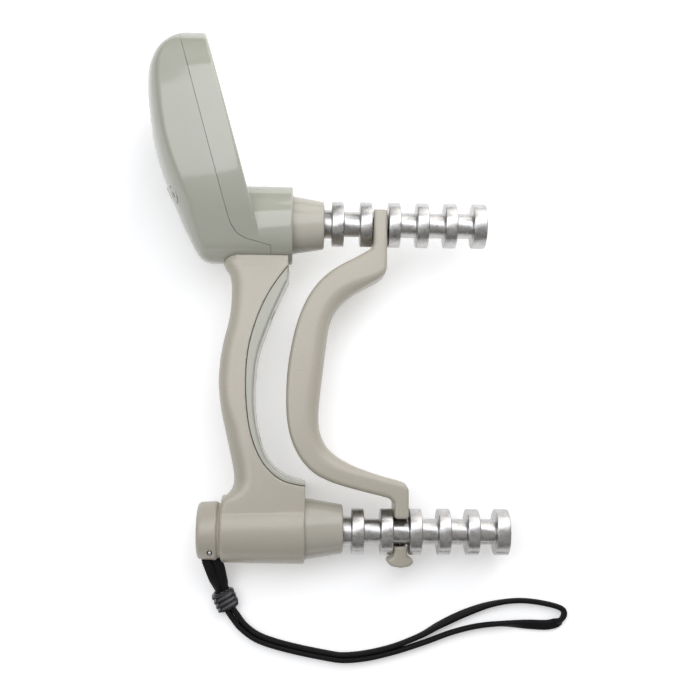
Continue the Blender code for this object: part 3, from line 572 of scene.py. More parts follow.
# --- the wrist strap and its keeper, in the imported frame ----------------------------
STRAP_LIE = 2.2
STRAP_WIDE = 4.4
STRAP_THICK = 2.4
STRAP_OUT = [
    (-52.0, -108.4, 14.2), (-51.7, -113.0, 13.6), (-49.9, -118.0, 12.1), (-48.2, -122.5, 9.4),
    (-46.7, -126.8, 6.9), (-44.85, -131.0, 4.8), (-42.9, -135.1, 3.1), (-40.5, -138.7, 2.4)]
STRAP_LOOP = [
    (-36.1, -143.7), (-28.5, -148.6), (-15.1, -152.6), (2.3, -156.1), (10.0, -156.9), (20.3, -155.9),
    (32.4, -153.1), (45.0, -149.2), (57.3, -144.9), (68.6, -142.2), (80.0, -141.1), (92.0, -141.4),
    (101.0, -141.6), (106.2, -140.0), (108.5, -136.8), (106.4, -134.0), (96.0, -131.6), (85.8, -131.1),
    (74.4, -132.9), (63.1, -136.7), (51.8, -141.8), (43.5, -146.2), (31.6, -150.8), (19.7, -153.6),
    (9.7, -154.6), (2.7, -153.9), (-14.6, -150.4), (-27.2, -146.6), (-34.2, -142.2)]
STRAP_BACK = [
    (-38.3, -137.3, 2.4), (-40.6, -134.0, 3.1), (-42.45, -130.0, 4.8), (-43.9, -125.6, 7.0),
    (-44.9, -121.3, 9.6), (-45.8, -116.8, 12.3), (-47.1, -113.2, 13.6), (-47.3, -108.4, 14.2)]
KEEPER_AT = (-43.65, -130.5, 4.85)
KEEPER_ALONG = (0.371, -0.842, -0.385)


def ease(value, low, high):
    share = max(0.0, min(1.0, (value - low) / (high - low)))
    return share * share * (3 - 2 * share)


def strap_stand(from_end, x, lower):
    """How far the band stands on edge: round the pin, flat at the mouth, on edge after."""
    share = 1 - ease(from_end, 1.0, 6.0) + ease(from_end, 11.0, 24.0)
    if lower:
        share -= 0.80 * ease(x, 74.0, 101.0) * (1 - ease(x, 104.0, 108.4))
    else:
        share -= 0.32 * ease(x, 40.0, 58.0) * (1 - ease(x, 62.0, 84.0))
    return math.pi / 2 * share


def webbing(name):
    """Near-black braid: darker between the strands, with a dry sheen of fibre."""
    s = Shader(name, roughness=0.7, specular_ior_level=0.22)
    fibre = s.noise(3200.0, 3.0, 0.6)
    s.colour(fibre, srgb(5, 5, 6), srgb(24, 24, 25), 0.3, 0.75)
    s.roughness(s.remap(fibre, 0.3, 0.7, 0.5, 0.8))
    s.bump(fibre, 0.5, 0.00012)
    s.bump(s.noise(900.0, 2.0, 0.5), 0.35, 0.0003)
    return s.material


def build_strap():
    route = STRAP_OUT + [(x, y, STRAP_LIE) for x, y in STRAP_LOOP] + STRAP_BACK
    path = [Vector(p) for p in spline(route, 0.3)]
    run = [0.0]
    for a, b in zip(path, path[1:]):
        run.append(run[-1] + (b - a).length)
    total = run[-1]
    around = 20
    verts = []
    for i, point in enumerate(path):
        along = (path[min(i + 1, len(path) - 1)] - path[max(i - 1, 0)]).normalized()
        level = Vector((0.0, 0.0, 1.0)).cross(along).normalized()
        up = along.cross(level)
        stand = strap_stand(min(run[i], total - run[i]), point.x, run[i] < total / 2)
        wide = level * math.cos(stand) + up * math.sin(stand)
        thin = along.cross(wide)
        if point.z < 2.3:
            point.z = (STRAP_WIDE / 2 * math.sin(stand)
                       + STRAP_THICK / 2 * math.cos(stand) * (1 - math.sin(stand)))
        for k in range(around):
            angle = math.tau * k / around
            cos, sin = math.cos(angle), math.sin(angle)
            out = 1.0 / (abs(cos) ** 3.4 + abs(sin) ** 3.4) ** (1 / 3.4)
            lean = STRAP_WIDE / 2 * cos * out
            rib = math.sin(math.tau * (run[i] / 1.15 + 0.55 * abs(lean)))
            grow = 1.0 + 0.05 * rib
            verts.append((point + wide * lean * (1 + 0.02 * rib)
                          + thin * (STRAP_THICK / 2 * sin * out * grow)) * MM)
    faces = []
    for i in range(len(path) - 1):
        for k in range(around):
            j = (k + 1) % around
            faces.append((i * around + k, i * around + j, (i + 1) * around + j, (i + 1) * around + k))
    faces.append(tuple(range(around)))
    faces.append(tuple(range((len(path) - 1) * around, len(path) * around)))
    mesh = bpy.data.meshes.new("wrist_strap_band")
    mesh.from_pydata(verts, [], faces)
    strap = bpy.data.objects.new("wrist_strap_band", mesh)
    bpy.context.scene.collection.objects.link(strap)
    tidy_normals(strap, 60.0)
    finish_piece(strap, webbing("strap_webbing"), "strap_webbing", "instrument", "wrist_strap")
    keeper = build_keeper()


def build_keeper():
    """A moulded slide with three slanting ribs, threaded on both runs of the strap."""
    outline = rounded([(-4.3, -2.9), (4.3, -2.9), (4.3, 2.9), (-4.3, 2.9)], 1.8, 8, closed=True)
    hole = rounded([(-2.9, -1.7), (2.9, -1.7), (2.9, 1.7), (-2.9, 1.7)], 0.7, 4, closed=True)
    rings = []
    steps = 72
    for k in range(steps + 1):
        level = -4.6 + 9.2 * k / steps
        ring = []
        for x, y in outline:
            rib = ease((level + 0.5 * x) / 2.35 % 1.0, 0.0, 0.75) * (1 - ease(abs(level), 3.6, 4.6))
            reach = 0.72 + 0.35 * rib
            ring.append((x * (reach + 0.12), y * reach, level))
        rings.append(ring)
    turn = keeper_turn()
    body = new_piece("strap_keeper_slide", *skin(rings))
    inner = new_piece("tool", *skin([[(x, y, z) for x, y in hole] for z in (-6.0, 6.0)]))
    for obj in (body, inner):
        obj.data.transform(turn @ TO_WORLD.inverted())
    combine(body, [inner])
    tidy_normals(body, 40.0)
    finish_piece(body, simple("keeper_plastic", srgb(34, 34, 36), srgb(56, 56, 58), 0.30, 1500.0),
                 "keeper_plastic", "instrument", "strap_keeper")
    return body


def keeper_turn():
    along = Vector(KEEPER_ALONG).normalized()
    across = Vector((0.0, 0.0, 1.0)).cross(along).normalized()
    up = along.cross(across)
    axes = Matrix((across, up, along)).transposed().to_4x4()
    return Matrix.Translation(Vector(KEEPER_AT) * MM) @ axes @ Matrix.Scale(MM, 4)


# --- display head ---------------------------------------------------------------------
FRONT_LINE = spline([
    (38.26, -61.5), (39.5, -65.2), (42.0, -67.6), (46.2, -70.1), (53.0, -73.5), (60.0, -76.6),
    (70.0, -80.9), (80.0, -84.6), (92.0, -87.8), (106.0, -89.9), (116.0, -90.3), (121.0, -89.7),
    (126.0, -88.2), (129.5, -86.2), (132.7, -83.5), (134.9, -80.7), (136.1, -78.2), (136.6, -76.4)], 0.4)


def table(points, at):
    """Read a value between (position, value) pairs."""
    if at <= points[0][0]:
        return points[0][1]
    for (a, low), (b, high) in zip(points, points[1:]):
        if at <= b:
            return low + (high - low) * (at - a) / (b - a)
    return points[-1][1]


def back_line(y):
    return BACK_X + BACK_SLOPE * (y - BACK_Y)


def head_levels(inset=0.0):
    """(height, half-width) of the head from its chin to its top."""
    radius = BOSS_R - inset
    levels = []
    for degrees in range(9, 57, 4):
        angle = math.radians(degrees)
        levels.append((BOSS_Y - radius * math.cos(angle), radius * math.sin(angle)))
    sides = [(46.23, 14.68), (54.0, 19.8), (62.0, 25.1), (70.0, 29.3), (80.0, 32.5), (92.0, 34.8),
             (106.0, 36.4), (116.6, 36.85)]
    levels += [(y, half - inset) for y, half in spline(sides, 1.6)]
    corner = HEAD_CORNER_R - inset
    for k in range(1, 31):
        angle = math.radians(3.0 * k)
        levels.append((HEAD_TOP - HEAD_CORNER_R + corner * math.sin(angle),
                       HEAD_SHOULDER - HEAD_CORNER_R + corner * math.cos(angle)))
    rising = [levels[0]]
    for y, half in levels[1:]:
        if y > rising[-1][0] + 0.005:
            rising.append((y, half))
    return rising


def head_form(inset=0.0):
    """The head's form: flat back, straight sides and a crowned front."""
    rings = []
    for y, half in head_levels(inset):
        back = back_line(y) - inset
        over = max(0.0, (y - (HEAD_TOP - 2.0)) / 2.0)
        if inset == 0.0:
            back -= 2.0 * (1.0 - math.sqrt(max(0.0, 1.0 - over * over)))
        front = table(FRONT_LINE, y + inset * (y - 90.0) / 50.0) + inset
        crown = min(9.5, 0.4 * half)
        edge = min(1.7, 0.3 * half)
        loop = []
        for k in range(7):
            angle = math.radians(15.0 * k)
            loop.append((back - edge * (1 - math.cos(angle)), half - edge * (1 - math.sin(angle))))
        for k in range(25):
            angle = math.radians(3.75 * k)
            loop.append((front + crown * (1 - math.sin(angle)), half * math.cos(angle)))
        loop += [(x, -z) for x, z in loop[-2::-1]]
        rings.append([(x, y, z) for x, z in loop])
    return skin(rings)


def parting_outline(shift):
    top = HEAD_TOP + 10.0
    line = [(back_line(top) - PARTING_DEPTH, top), (-53.0, 55.5), (-51.9, 52.6), (-49.3, 49.0),
            (-45.8, 47.1), (-40.4, 45.8), (-34.7, 44.4), (-34.7, 20.0), (-110.0, 20.0), (-110.0, top)]
    return [(x + shift, y + shift) for x, y in line]


def front_normal(z):
    return Vector((-0.917, -0.399, 0.018 * z)).normalized()


def button_seat(z):
    y = 69.0 - abs(z) * 0.22
    half = table(head_levels(), y)
    crown = min(9.5, 0.4 * half)
    return Vector((table(FRONT_LINE, y) + crown * (1.0 - math.sqrt(1.0 - (z / half) ** 2)), y, z))


def slanted(near, far, y_range, half, shift=0.0, corner=0.0):
    """A block parallel to the head's back, between two depths below it."""
    low, high = y_range
    flat = rounded([(low, shift - half), (high, shift - half), (high, shift + half), (low, shift + half)],
                   corner, 6, closed=True)
    return skin([[(back_line(y) - depth, y, z) for y, z in flat] for depth in (far, near)])


def build_head():
    boss_line = rounded([(-58.0, BOSS_R), (BOSS_END, BOSS_R), (BOSS_END, 8.0)], 0.9, 5)
    boss = tool(lathe([(-58.0, 0.0)] + boss_line + [(BOSS_END, 0.0)], (BOSS_Y, 0.0), 144))
    whole = new_piece("head", *head_form())
    combine(whole, [boss], "UNION")
    combine(whole, [tool(head_form(HEAD_WALL))])
    bore = [(-54.0, 0.0), (-54.0, 15.0), (-27.6, 15.0), (-27.6, 0.0)]
    combine(whole, [tool(lathe(bore, (BOSS_Y, 0.0), 64))])
    combine(whole, [tool(block((-49.2, -32.0), (30.0, 48.0), (-7.6, 7.6)))])
    front = bpy.data.objects.new("front_cover_shell", whole.data.copy())
    rear = bpy.data.objects.new("rear_cover_shell", whole.data.copy())
    for obj in (front, rear):
        bpy.context.scene.collection.objects.link(obj)
    drop(whole)
    combine(front, [tool(prism(parting_outline(0.0), -60.0, 60.0))], "INTERSECT")
    combine(rear, [tool(prism(parting_outline(0.14), -60.0, 60.0))])
    for name, z, _, _ in KEYS:
        hole = lathe([(0, 0), (0, BUTTON_R + 0.15), (12, BUTTON_R + 0.15), (12, 0)], (0.0, 0.0), 48, "Z")
        combine(front, [tool(aimed(hole, button_seat(z) - front_normal(z) * 7.0, front_normal(z)))])
    low, high = WINDOW_Y
    frame_line = rounded([(low, -WINDOW_HALF), (high, -WINDOW_HALF), (high, WINDOW_HALF), (low, WINDOW_HALF)],
                         2.5, 6, closed=True)
    combine(front, [tool(skin([[(x, y, z) for y, z in frame_line] for x in (-110.0, -74.0)]))])
    combine(rear, [tool(lathe([(-29.5, 0.0), (-29.5, 13.9), (-27.6, 13.75), (-24.2, 13.15), (-24.2, 0.0)],
                              (56.17, 0.0), 96))])
    combine(rear, [tool(slanted(-1.0, 3.0, DOOR_Y, DOOR_HALF, corner=2.0))])
    for y, z in SCREW_SPOTS:
        base = Vector((back_line(y), y, z)) - BACK_NORMAL * 19.0
        bore = [(0, 0), (0, 1.6), (17.5, 1.6), (17.5, 3.0), (22, 3.0), (22, 0)]
        combine(rear, [tool(aimed(lathe(bore, (0.0, 0.0), 32, "Z"), base, BACK_NORMAL))])
    for obj in (front, rear):
        tidy_normals(obj, 28.0)
    finish_piece(front, PLASTIC, "housing_plastic", "instrument", "front_cover")
    finish_piece(rear, PLASTIC_REAR, "housing_plastic", "instrument", "rear_cover")
    build_window(frame_line)
    build_door()
    for name, z, depth, body in KEYS:
        build_key(name, z, depth, body)


KEYS = (("button_units", 17.0, 6.2, "units_key"), ("button_power", 0.0, 8.6, "power_key"),
        ("button_reset", -17.0, 6.2, "reset_key"))


def build_key(name, z, depth, body):
    """A round key with a rim, a dished face and one raised mark."""
    face = [(depth - 4.4, 2.4), (depth - 4.4, 4.8), (depth - 3.5, 4.8), (depth - 3.5, BUTTON_R),
            (depth - 0.25, BUTTON_R), (depth + 0.05, BUTTON_R - 0.15), (depth + 0.15, BUTTON_R - 0.5),
            (depth + 0.12, 2.6), (depth + 0.02, 1.4)]
    profile = [(0.0, 0.0), (0.0, 2.4)] + face + [(depth - 0.02, 0.0)]
    seat = button_seat(z) - front_normal(z) * depth
    key = new_piece(name + "_cap", *aimed(lathe(profile, (0.0, 0.0), 64, "Z"), seat, front_normal(z)), 30.0)
    finish_piece(key, KEY_PLASTIC, "button_plastic", body, name)
    top = depth - 0.02
    if name == "button_power":
        marks = [ring_mark(1.5, 0.32, top, 40, 320), bar_mark(0.0, 1.15, 0.32, 1.5, top)]
    elif name == "button_reset":
        marks = [ring_mark(1.4, 0.32, top, 0, 360)]
    else:
        marks = [bar_mark(0.0, 0.55, 2.6, 0.34, top), bar_mark(0.0, -0.55, 2.6, 0.34, top)]
    for k, mark in enumerate(marks):
        piece = new_piece("%s_mark_%d" % (name, k + 1), *aimed(mark, seat, front_normal(z)))
        finish_piece(piece, GREY_PRINT, "button_plastic", body)


def ring_mark(radius, wide, top, start, end):
    steps = 40
    full = end - start == 360
    rings = []
    for k in range(steps if full else steps + 1):
        angle = math.radians(start + (end - start) * k / steps)
        ring = []
        for dr, dz in ((-wide / 2, 0.0), (wide / 2, 0.0), (wide / 2, 0.22), (-wide / 2, 0.22)):
            ring.append(((radius + dr) * math.sin(angle), (radius + dr) * math.cos(angle), top + dz))
        rings.append(ring)
    return skin(rings + rings[:1] if full else rings, caps=not full)


def bar_mark(x, y, wide, tall, top):
    outline = [(x - wide / 2, y - tall / 2), (x + wide / 2, y - tall / 2),
               (x + wide / 2, y + tall / 2), (x - wide / 2, y + tall / 2)]
    return skin([[(px, py, level) for px, py in rounded(outline, 0.1, 3, closed=True)]
                 for level in (top, top + 0.22)])


def build_window(frame_line):
    """The clear window, and dark generic digits on the display behind it."""
    window = new_piece("lcd_window_lens", *head_form(0.25))
    combine(window, [tool(head_form(1.9))])
    inner = [(y + (0.3 if y < 107 else -0.3), z + (0.3 if z < 0 else -0.3)) for y, z in frame_line]
    combine(window, [tool(skin([[(x, y, z) for y, z in inner] for x in (-110.0, -76.0)]))], "INTERSECT")
    tidy_normals(window, 30.0)
    finish_piece(window, LENS, "display_window", "instrument", "lcd_window")
    zero_strokes = [(0, 1), (1, 0.5), (1, -0.5), (0, -1), (-1, -0.5), (-1, 0.5)]
    verts = []
    faces = []
    for k in range(3):
        for sx, sy in zero_strokes:
            z = -11.5 + 11.5 * k + sx * 3.1
            y = 105.0 + sy * 5.4
            long, wide = (2.5, 0.55) if sx == 0 else (0.55, 2.2)
            add_stroke(verts, faces, y, z, wide, long)
    add_stroke(verts, faces, 99.6, 5.8, 0.6, 0.6)
    digits = new_piece("display_digits", verts, faces)
    finish_piece(digits, DARK_PRINT, "display_panel", "instrument")


def add_stroke(verts, faces, y, z, half_y, half_z):
    outline = [(y - half_y, z - half_z), (y + half_y, z - half_z),
               (y + half_y, z + half_z), (y - half_y, z + half_z)]
    rings = [[(back_line(py) - depth, py, pz) for py, pz in outline] for depth in (25.5, 25.22)]
    more, more_faces = skin(rings)
    start = len(verts)
    verts += more
    faces += [tuple(start + i for i in face) for face in more_faces]


def build_door():
    """The battery door, with a thumb grip of five grooves."""
    low, high = DOOR_Y
    panel = slanted(0.1, 2.2, (low + 0.3, high - 0.3), DOOR_HALF - 0.3, corner=1.8)
    door = new_piece("battery_door_panel", *panel)
    for k in range(5):
        y = 97.0 + 2.2 * k
        groove = skin([[(back_line(py) + out, py, z) for py, out in
                        ((y - 0.55, 0.3), (y - 0.35, -0.75), (y + 0.35, -0.75), (y + 0.55, 0.3))]
                       for z in (-8.0, 8.0)])
        combine(door, [tool(groove)])
    tidy_normals(door, 30.0)
    finish_piece(door, PLASTIC_REAR, "housing_plastic", "battery_door", "battery_cover")


# --- posts and boots --------------------------------------------------------------------
def build_post(name, axis_y, shift):
    """Six rings on a neck, each with a broken edge, and a small root radius."""
    line = [(-29.0 + shift, 6.5), (-7.8 + shift, 6.5)]
    radii = [0.0, 0.3]
    for k in range(6):
        left = -7.8 + shift + 12.7 * k
        right = left + (6.0 if k == 5 else 5.4)
        line += [(left, 10.1), (right, 10.1)]
        radii += [0.45, 0.45]
        if k < 5:
            line += [(right, 5.65), (left + 12.7, 5.65)]
            radii += [0.5, 0.5]
    end = line[-1][0]
    line += [(end, 1.6), (end - 1.8, 0.0)]
    radii += [0.0, 0.0]
    profile = [(-29.0 + shift, 0.0)] + rounded(line, radii, 5)
    post = new_piece(name + "_turned", *lathe(profile, (axis_y, 0.0), 160), 30.0)
    finish_piece(post, METAL, "turned_aluminium", "instrument", name)


def build_boot(name, axis_y, tip):
    back = tip - 21.6
    wide = 10.7 + 0.165 * 16.6
    line = [(back, 10.3), (back, wide - 0.1), (tip - 16.6, wide), (tip, 10.7), (tip, 8.0), (tip - 2.4, 8.0),
            (tip - 2.4, 9.4)]
    profile = rounded(line, [0.0, 0.4, 0.0, 1.1, 0.3, 0.0, 0.0], 7, closed=True)
    boot = new_piece(name + "_sleeve", *lathe(profile, (axis_y, 0.0), 144), 30.0)
    finish_piece(boot, PLASTIC_BOOT, "housing_plastic", "instrument", name)


# --- castings ------------------------------------------------------------------------------
PALM = [(-55.8, 37.3), (-54.9, 35.4), (-53.0, 32.8), (-52.0, 29.0), (-51.8, 24.0), (-52.1, 17.0),
        (-53.1, 10.5), (-54.8, 3.5), (-56.2, -5.0), (-56.8, -14.0), (-56.3, -21.5), (-55.2, -29.0),
        (-53.4, -37.5), (-51.3, -46.5), (-49.8, -53.5), (-49.5, -58.5), (-50.6, -62.2), (-54.2, -66.0)]
SEAM = [(-26.9, 36.3), (-32.1, 29.4), (-36.5, 21.9), (-40.1, 13.5), (-42.9, 4.1), (-44.3, -4.2),
        (-44.8, -12.9), (-44.6, -20.6), (-43.9, -28.6), (-42.6, -36.1), (-40.3, -43.3), (-36.9, -49.9),
        (-32.4, -55.0), (-26.5, -58.5), (-18.3, -60.2)]
FINGER_SIDE = [
    (-26.9, 30.6), (-30.0, 23.7), (-33.2, 16.3), (-36.0, 9.0), (-38.7, 1.3), (-40.4, -6.0), (-41.1, -13.5),
    (-41.3, -20.5), (-40.9, -28.0), (-39.7, -35.5), (-37.7, -43.0), (-34.6, -49.3), (-30.2, -53.8),
    (-25.0, -56.7), (-18.3, -58.7)]
CAVITY = [(-26.0, 27.0), (-46.0, 27.0), (-47.2, 18.0), (-50.5, 0.0), (-52.5, -14.0),
          (-50.5, -30.0), (-46.0, -47.0), (-42.0, -62.0), (-34.0, -64.0), (-20.0, -50.0), (-30.0, -30.0),
          (-38.0, -14.0), (-32.0, 6.0)]
HANDLE = [
    (10.7, 62.4), (10.7, 47.0), (9.6, 44.6), (3.0, 40.9), (-4.3, 37.0), (-9.7, 33.2), (-14.2, 28.6),
    (-18.0, 23.0), (-20.9, 16.8), (-22.9, 11.0), (-24.8, 3.0), (-26.6, -8.5), (-27.2, -20.0),
    (-26.9, -29.0), (-25.9, -36.0), (-23.8, -42.5), (-20.3, -48.8), (-15.2, -54.2), (-9.2, -57.6),
    (-0.5, -60.6), (18.5, -65.4),
    (20.6, -67.4), (20.6, -73.6), (21.4, -74.25), (26.1, -74.25), (26.9, -73.6), (26.9, -61.5), (25.2, -58.6),
    (12.0, -54.9), (2.6, -51.4), (-3.8, -48.0), (-8.0, -44.5), (-10.7, -40.6), (-12.4, -35.5), (-12.8, -29.5),
    (-12.3, -21.0), (-11.1, -10.5), (-9.8, 1.0), (-8.6, 9.4), (-6.6, 15.4), (-3.3, 20.2), (1.5, 24.4),
    (7.0, 27.8), (13.0, 31.2), (16.0, 33.6), (16.9, 35.8), (16.9, 62.4)]
STRIP_SCREWS = ((-34.0, 14.6), (-38.4, -40.6))


def grip_half(y):
    return table([(-65.0, 13.0), (-40.0, 12.6), (0.0, 12.2), (25.0, 11.2), (44.0, 10.0)], y)


def slab(outline, half, fillet=0.0, steps=8, shift=0.0):
    """Extrude (x, y, weight) points to both sides, with long edges rounded by weight."""
    count = len(outline)
    area = sum(a[0] * b[1] - b[0] * a[1] for a, b in zip(outline, outline[1:] + outline[:1]))
    turn = 1.0 if area > 0 else -1.0
    inward = []
    for i in range(count):
        before, here, after = (Vector(outline[j % count][:2]) for j in (i - 1, i, i + 1))
        one = (here - before).normalized()
        two = (after - here).normalized()
        normal = Vector((-(one + two).y, (one + two).x)).normalized() * turn
        inward.append(normal / max(0.5, normal.dot(Vector((-one.y, one.x)) * turn)))
    levels = [(0.0, 1.0)]
    if fillet > 0.0:
        angles = [math.pi / 2 * k / steps for k in range(steps + 1)]
        levels = [(1.0 - math.cos(a), math.sin(a)) for a in angles]
    rings = []
    for side in (-1.0, 1.0):
        for pull, rise in (levels[::-1] if side < 0 else levels):
            ring = []
            for (x, y, weight), push in zip(outline, inward):
                reach = half(y) if callable(half) else half
                size = fillet * weight
                point = Vector((x, y)) + push * size * pull
                ring.append((point.x, point.y, shift + side * (reach - size * (1.0 - rise))))
            rings.append(ring)
    return skin(rings)


def weighted(points, weight):
    return [(x, y, weight) for x, y in points]


def cast(obj, voxel, rounds):
    """Melt a joined shape into one casting: fine remesh, then even it out."""
    modify(obj, "REMESH", mode="VOXEL", voxel_size=voxel * MM, adaptivity=0.0, use_smooth_shade=True)
    smooth_mesh(obj, rounds)
    obj.data.shade_smooth()
    return obj


def build_grip():
    palm = []
    for x, y, _ in spline(weighted(PALM, 1.0), 1.5):
        palm.append((x, y, (1.0 + 0.4 * ease(y, -22.0, -40.0)) * (1 - 0.7 * ease(y, -58.0, -66.0))))
    seam = spline(SEAM, 1.5)
    outline = palm + [(-54.2, -72.0, 0.0), (-18.3, -72.0, 0.0)] + weighted(seam[::-1], 0.0)
    outline += [(-26.9, 44.0, 0.0), (-51.0, 44.0, 0.6), (-54.4, 41.2, 0.9)]
    grip = new_piece("grip_casting", *slab(outline, grip_half, 6.0, 8))
    barrel = rounded([(BARREL_BACK, 8.0), (BARREL_BACK, 14.7), (-40.0, 15.0), (BARREL_MOUTH, 15.2),
                      (BARREL_MOUTH, 8.0)], [0, 1.1, 0, 0.7, 0], 4)
    lug = rounded([(LUG_END, 0.0), (LUG_END, 12.5), (-56.6, 12.9), (-56.1, 11.8), (-52.0, 11.8)],
                  [0, 2.0, 0.4, 0, 0], 8)
    barrel = [(barrel[0][0], 0.0)] + barrel + [(BARREL_MOUTH, 0.0)]
    combine(grip, [tool(lathe(barrel, (BARREL_Y, 0.0), 96))], "UNION")
    combine(grip, [tool(lathe(lug + [(-52.0, 0.0)], (LUG_Y, 0.0), 96))], "UNION")
    boss_room = [(-70.0, 0.0), (-70.0, 17.8), (-20.0, 17.8), (-20.0, 0.0)]
    combine(grip, [tool(lathe(boss_room, (BOSS_Y, 0.0), 96))])
    combine(grip, [tool(slab(weighted(CAVITY, 0.0), 8.4))])
    boot_room = [(-31.0, 0.0), (-31.0, 13.75), (-14.3, 13.75), (-14.3, 0.0)]
    combine(grip, [tool(lathe(boot_room, (-79.25, 0.0), 96))])
    combine(grip, [tool(block((-46.4, -33.6), (35.6, 46.0), (-7.4, 7.4)))])
    pin_hole = [(-20.0, 0.0), (-20.0, PIN_R), (20.0, PIN_R), (20.0, 0.0)]
    combine(grip, [tool(lathe(pin_hole, (PIN_X, PIN_Y), 32, "Z"))])
    combine(grip, [tool(block((PIN_X - 4.6, PIN_X + 4.6), (-100.0, PIN_Y + 4.6), (-3.2, 3.2)))])
    cast(grip, 0.42, 3)
    finish_piece(grip, PAINT, "painted_casting", "instrument", "grip_body")
    reach = math.sqrt(12.6 ** 2 - (PIN_Y - LUG_Y) ** 2) - 0.6
    pin_r = PIN_R - 0.35
    pin_line = rounded([(-reach, 0.0), (-reach, pin_r), (reach, pin_r), (reach, 0.0)], 0.4, 5)
    pin = new_piece("strap_pin_round", *lathe(pin_line, (PIN_X, PIN_Y), 48, "Z"))
    finish_piece(pin, STEEL, "steel_hardware", "instrument", "strap_pin")
    build_strip()


def offset_line(points, distance):
    moved = []
    for i, point in enumerate(points):
        along = (Vector(points[min(i + 1, len(points) - 1)]) - Vector(points[max(i - 1, 0)])).normalized()
        moved.append((point[0] - along.y * distance, point[1] + along.x * distance))
    return moved


def build_strip():
    """The plastic strip on the finger side of the grip, with its two screws."""
    inner = offset_line(spline(SEAM, 1.5), 0.3)
    outer = spline(FINGER_SIDE, 1.5)[::-1]
    outline = weighted(inner, 0.0)
    for k, (x, y) in enumerate(outer):
        outline.append((x, y, min(1.0, 0.25 + 0.1 * k, 0.3 + 0.35 * (len(outer) - 1 - k))))
    strip = new_piece("grip_front_strip", *slab(outline, grip_half, 1.0, 6))
    for k, (x, y) in enumerate(STRIP_SCREWS):
        hole = [(x - 12.0, 0.0), (x - 12.0, 1.6), (x - 2.2, 1.6),
                (x - 2.2, 2.9), (x + 6.0, 2.9), (x + 6.0, 0.0)]
        combine(strip, [tool(lathe(hole, (y, 0.0), 48))])
        screw = cross_head((x - 9.0, y, 0.0), Vector((1.0, 0.0, 0.0)), 8.4, 2.6, 1.3)
        finish_piece(rename(screw, "strip_screw_head_%d" % (k + 1)), STEEL, "steel_hardware", "instrument",
                     "strip_screw_%d" % (k + 1))
    tidy_normals(strip, 30.0)
    finish_piece(strip, PLASTIC, "housing_plastic", "instrument", "grip_front_cover")


def rename(obj, name):
    obj.name = name
    return obj


def cross_head(tip, direction, length, head_r, shank_r):
    """A pan-head screw with a cross recess, from its tip along a direction."""
    head = rounded([(length - 1.3, head_r), (length, head_r), (length, 0.0)], 0.7, 6)
    profile = [(0.0, 0.0), (0.8, shank_r), (length - 1.3, shank_r)] + head
    screw = new_piece("screw", *aimed(lathe(profile, (0.0, 0.0), 48, "Z"), tip, direction))
    for wide, tall in ((2.6, 0.55), (0.55, 2.6)):
        slot = skin([[(-wide / 2 * s, -tall / 2, z), (wide / 2 * s, -tall / 2, z),
                      (wide / 2 * s, tall / 2, z), (-wide / 2 * s, tall / 2, z)]
                     for z, s in ((length - 0.8, 0.6), (length + 0.5, 1.0))])
        combine(screw, [tool(aimed(slot, tip, direction))])
    return tidy_normals(screw, 30.0)


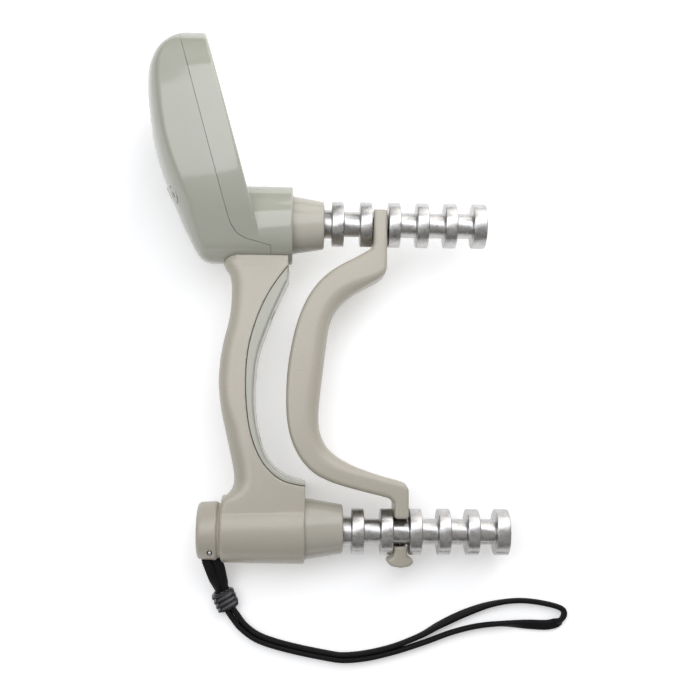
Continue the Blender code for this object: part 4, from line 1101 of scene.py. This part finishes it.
def build_handle():
    hard = {0: 0.35, 1: 0.6, 21: 0.3, 22: 0.3, 23: 0.3, 24: 0.3, 25: 0.3, 26: 0.3, 45: 0.6, 46: 0.35}
    points = [(x, y, hard.get(i, 1.0)) for i, (x, y) in enumerate(HANDLE)]
    grip_side = [(x, y, 0.62) for x, y, _ in spline(points[2:21], 1.5)]
    palm_side = []
    for x, y, _ in spline(points[27:45], 1.5):
        palm_side.append((x, y, 0.8 + 1.2 * ease(y, -57.0, -44.0) * (1 - ease(y, 22.0, 34.0))))
    outline = points[:2] + grip_side + points[21:27] + palm_side + points[45:]
    handle = new_piece("handle_casting", *slab(outline, HANDLE_HALF, 3.0, 8))
    bend = 5.98
    combine(handle, [tool(lathe([(0.0, 0.0), (0.0, bend), (30.0, bend), (30.0, 0.0)], (UPPER_Y, 0.0), 64))])
    combine(handle, [tool(block((0.0, 30.0), (UPPER_Y, 80.0), (-bend, bend)))])
    combine(handle, [tool(block((20.6, 26.9), (-94.0, -70.0), (-HANDLE_HALF, -6.2)))], "UNION")
    jaw = [(20.6, -86.5), (26.9, -86.5), (26.9, -91.0), (29.2, -92.2), (29.6, -93.6), (28.0, -95.2),
           (24.0, -96.0), (19.6, -95.2), (17.9, -93.6), (18.3, -92.2), (20.6, -91.0)]
    combine(handle, [tool(slab(weighted(jaw, 1.0), 6.6, 0.9, 4, shift=-2.8))], "UNION")
    ball_room = [(-91.7, 0.0), (-91.7, 1.75), (-83.5, 1.75), (-83.5, 0.0)]
    combine(handle, [tool(lathe(ball_room, (23.75, 0.0), 32, "Y"))])
    cast(handle, 0.5, 4)
    finish_piece(handle, PAINT, "painted_casting", "handle", "handle")
    ball_at = LOWER_Y - 5.65 - 0.12 - 1.6
    arc = [(ball_at - 1.6 * math.cos(math.pi * k / 24), 1.6 * math.sin(math.pi * k / 24)) for k in range(25)]
    arc[-1] = (arc[-1][0], 0.0)
    ball = new_piece("detent_ball_round", *lathe(arc, (23.75, 0.0), 48, "Y"))
    finish_piece(ball, STEEL, "steel_hardware", "detent", "detent_ball")


def build_cover_screws():
    for k, (y, z) in enumerate(SCREW_SPOTS):
        tip = Vector((back_line(y), y, z)) - BACK_NORMAL * 16.05
        screw = cross_head(tip, BACK_NORMAL, 16.0, 2.6, 1.2)
        finish_piece(rename(screw, "cover_screw_head_%d" % (k + 1)), STEEL, "steel_hardware", "instrument",
                     "cover_screw_%d" % (k + 1))


def dress_cad_nodes():
    """Finishes for the hidden pieces that stay as the CAD made them."""
    slots = {"lcd_panel": DISPLAY, "main_board": BOARD, "keypad_mat": SILICONE, "battery_tray": TRAY,
             "battery_1": CELL, "battery_2": CELL, "cell_cable": SHEATH}
    steel = ["contact_bridge", "contact_plus", "contact_minus", "upper_load_cell", "lower_load_cell",
             "post_carrier", "carrier_screw_1", "carrier_screw_2", "upper_post_screw", "lower_post_screw",
             "detent_spring"]
    slots.update({name: STEEL for name in steel})
    for name, material in slots.items():
        mesh = bpy.data.objects[name]
        if not mesh.material_slots:
            mesh.data.materials.append(material)
        for slot in mesh.material_slots:
            slot.material = material


build_strap()
build_head()
build_post("upper_post", UPPER_Y, 0.0)
build_post("lower_post", LOWER_Y, 9.9)
build_boot("upper_boot", 56.17, -11.2)
build_boot("lower_boot", -79.25, -1.7)
build_grip()
build_handle()
build_cover_screws()
dress_cad_nodes()
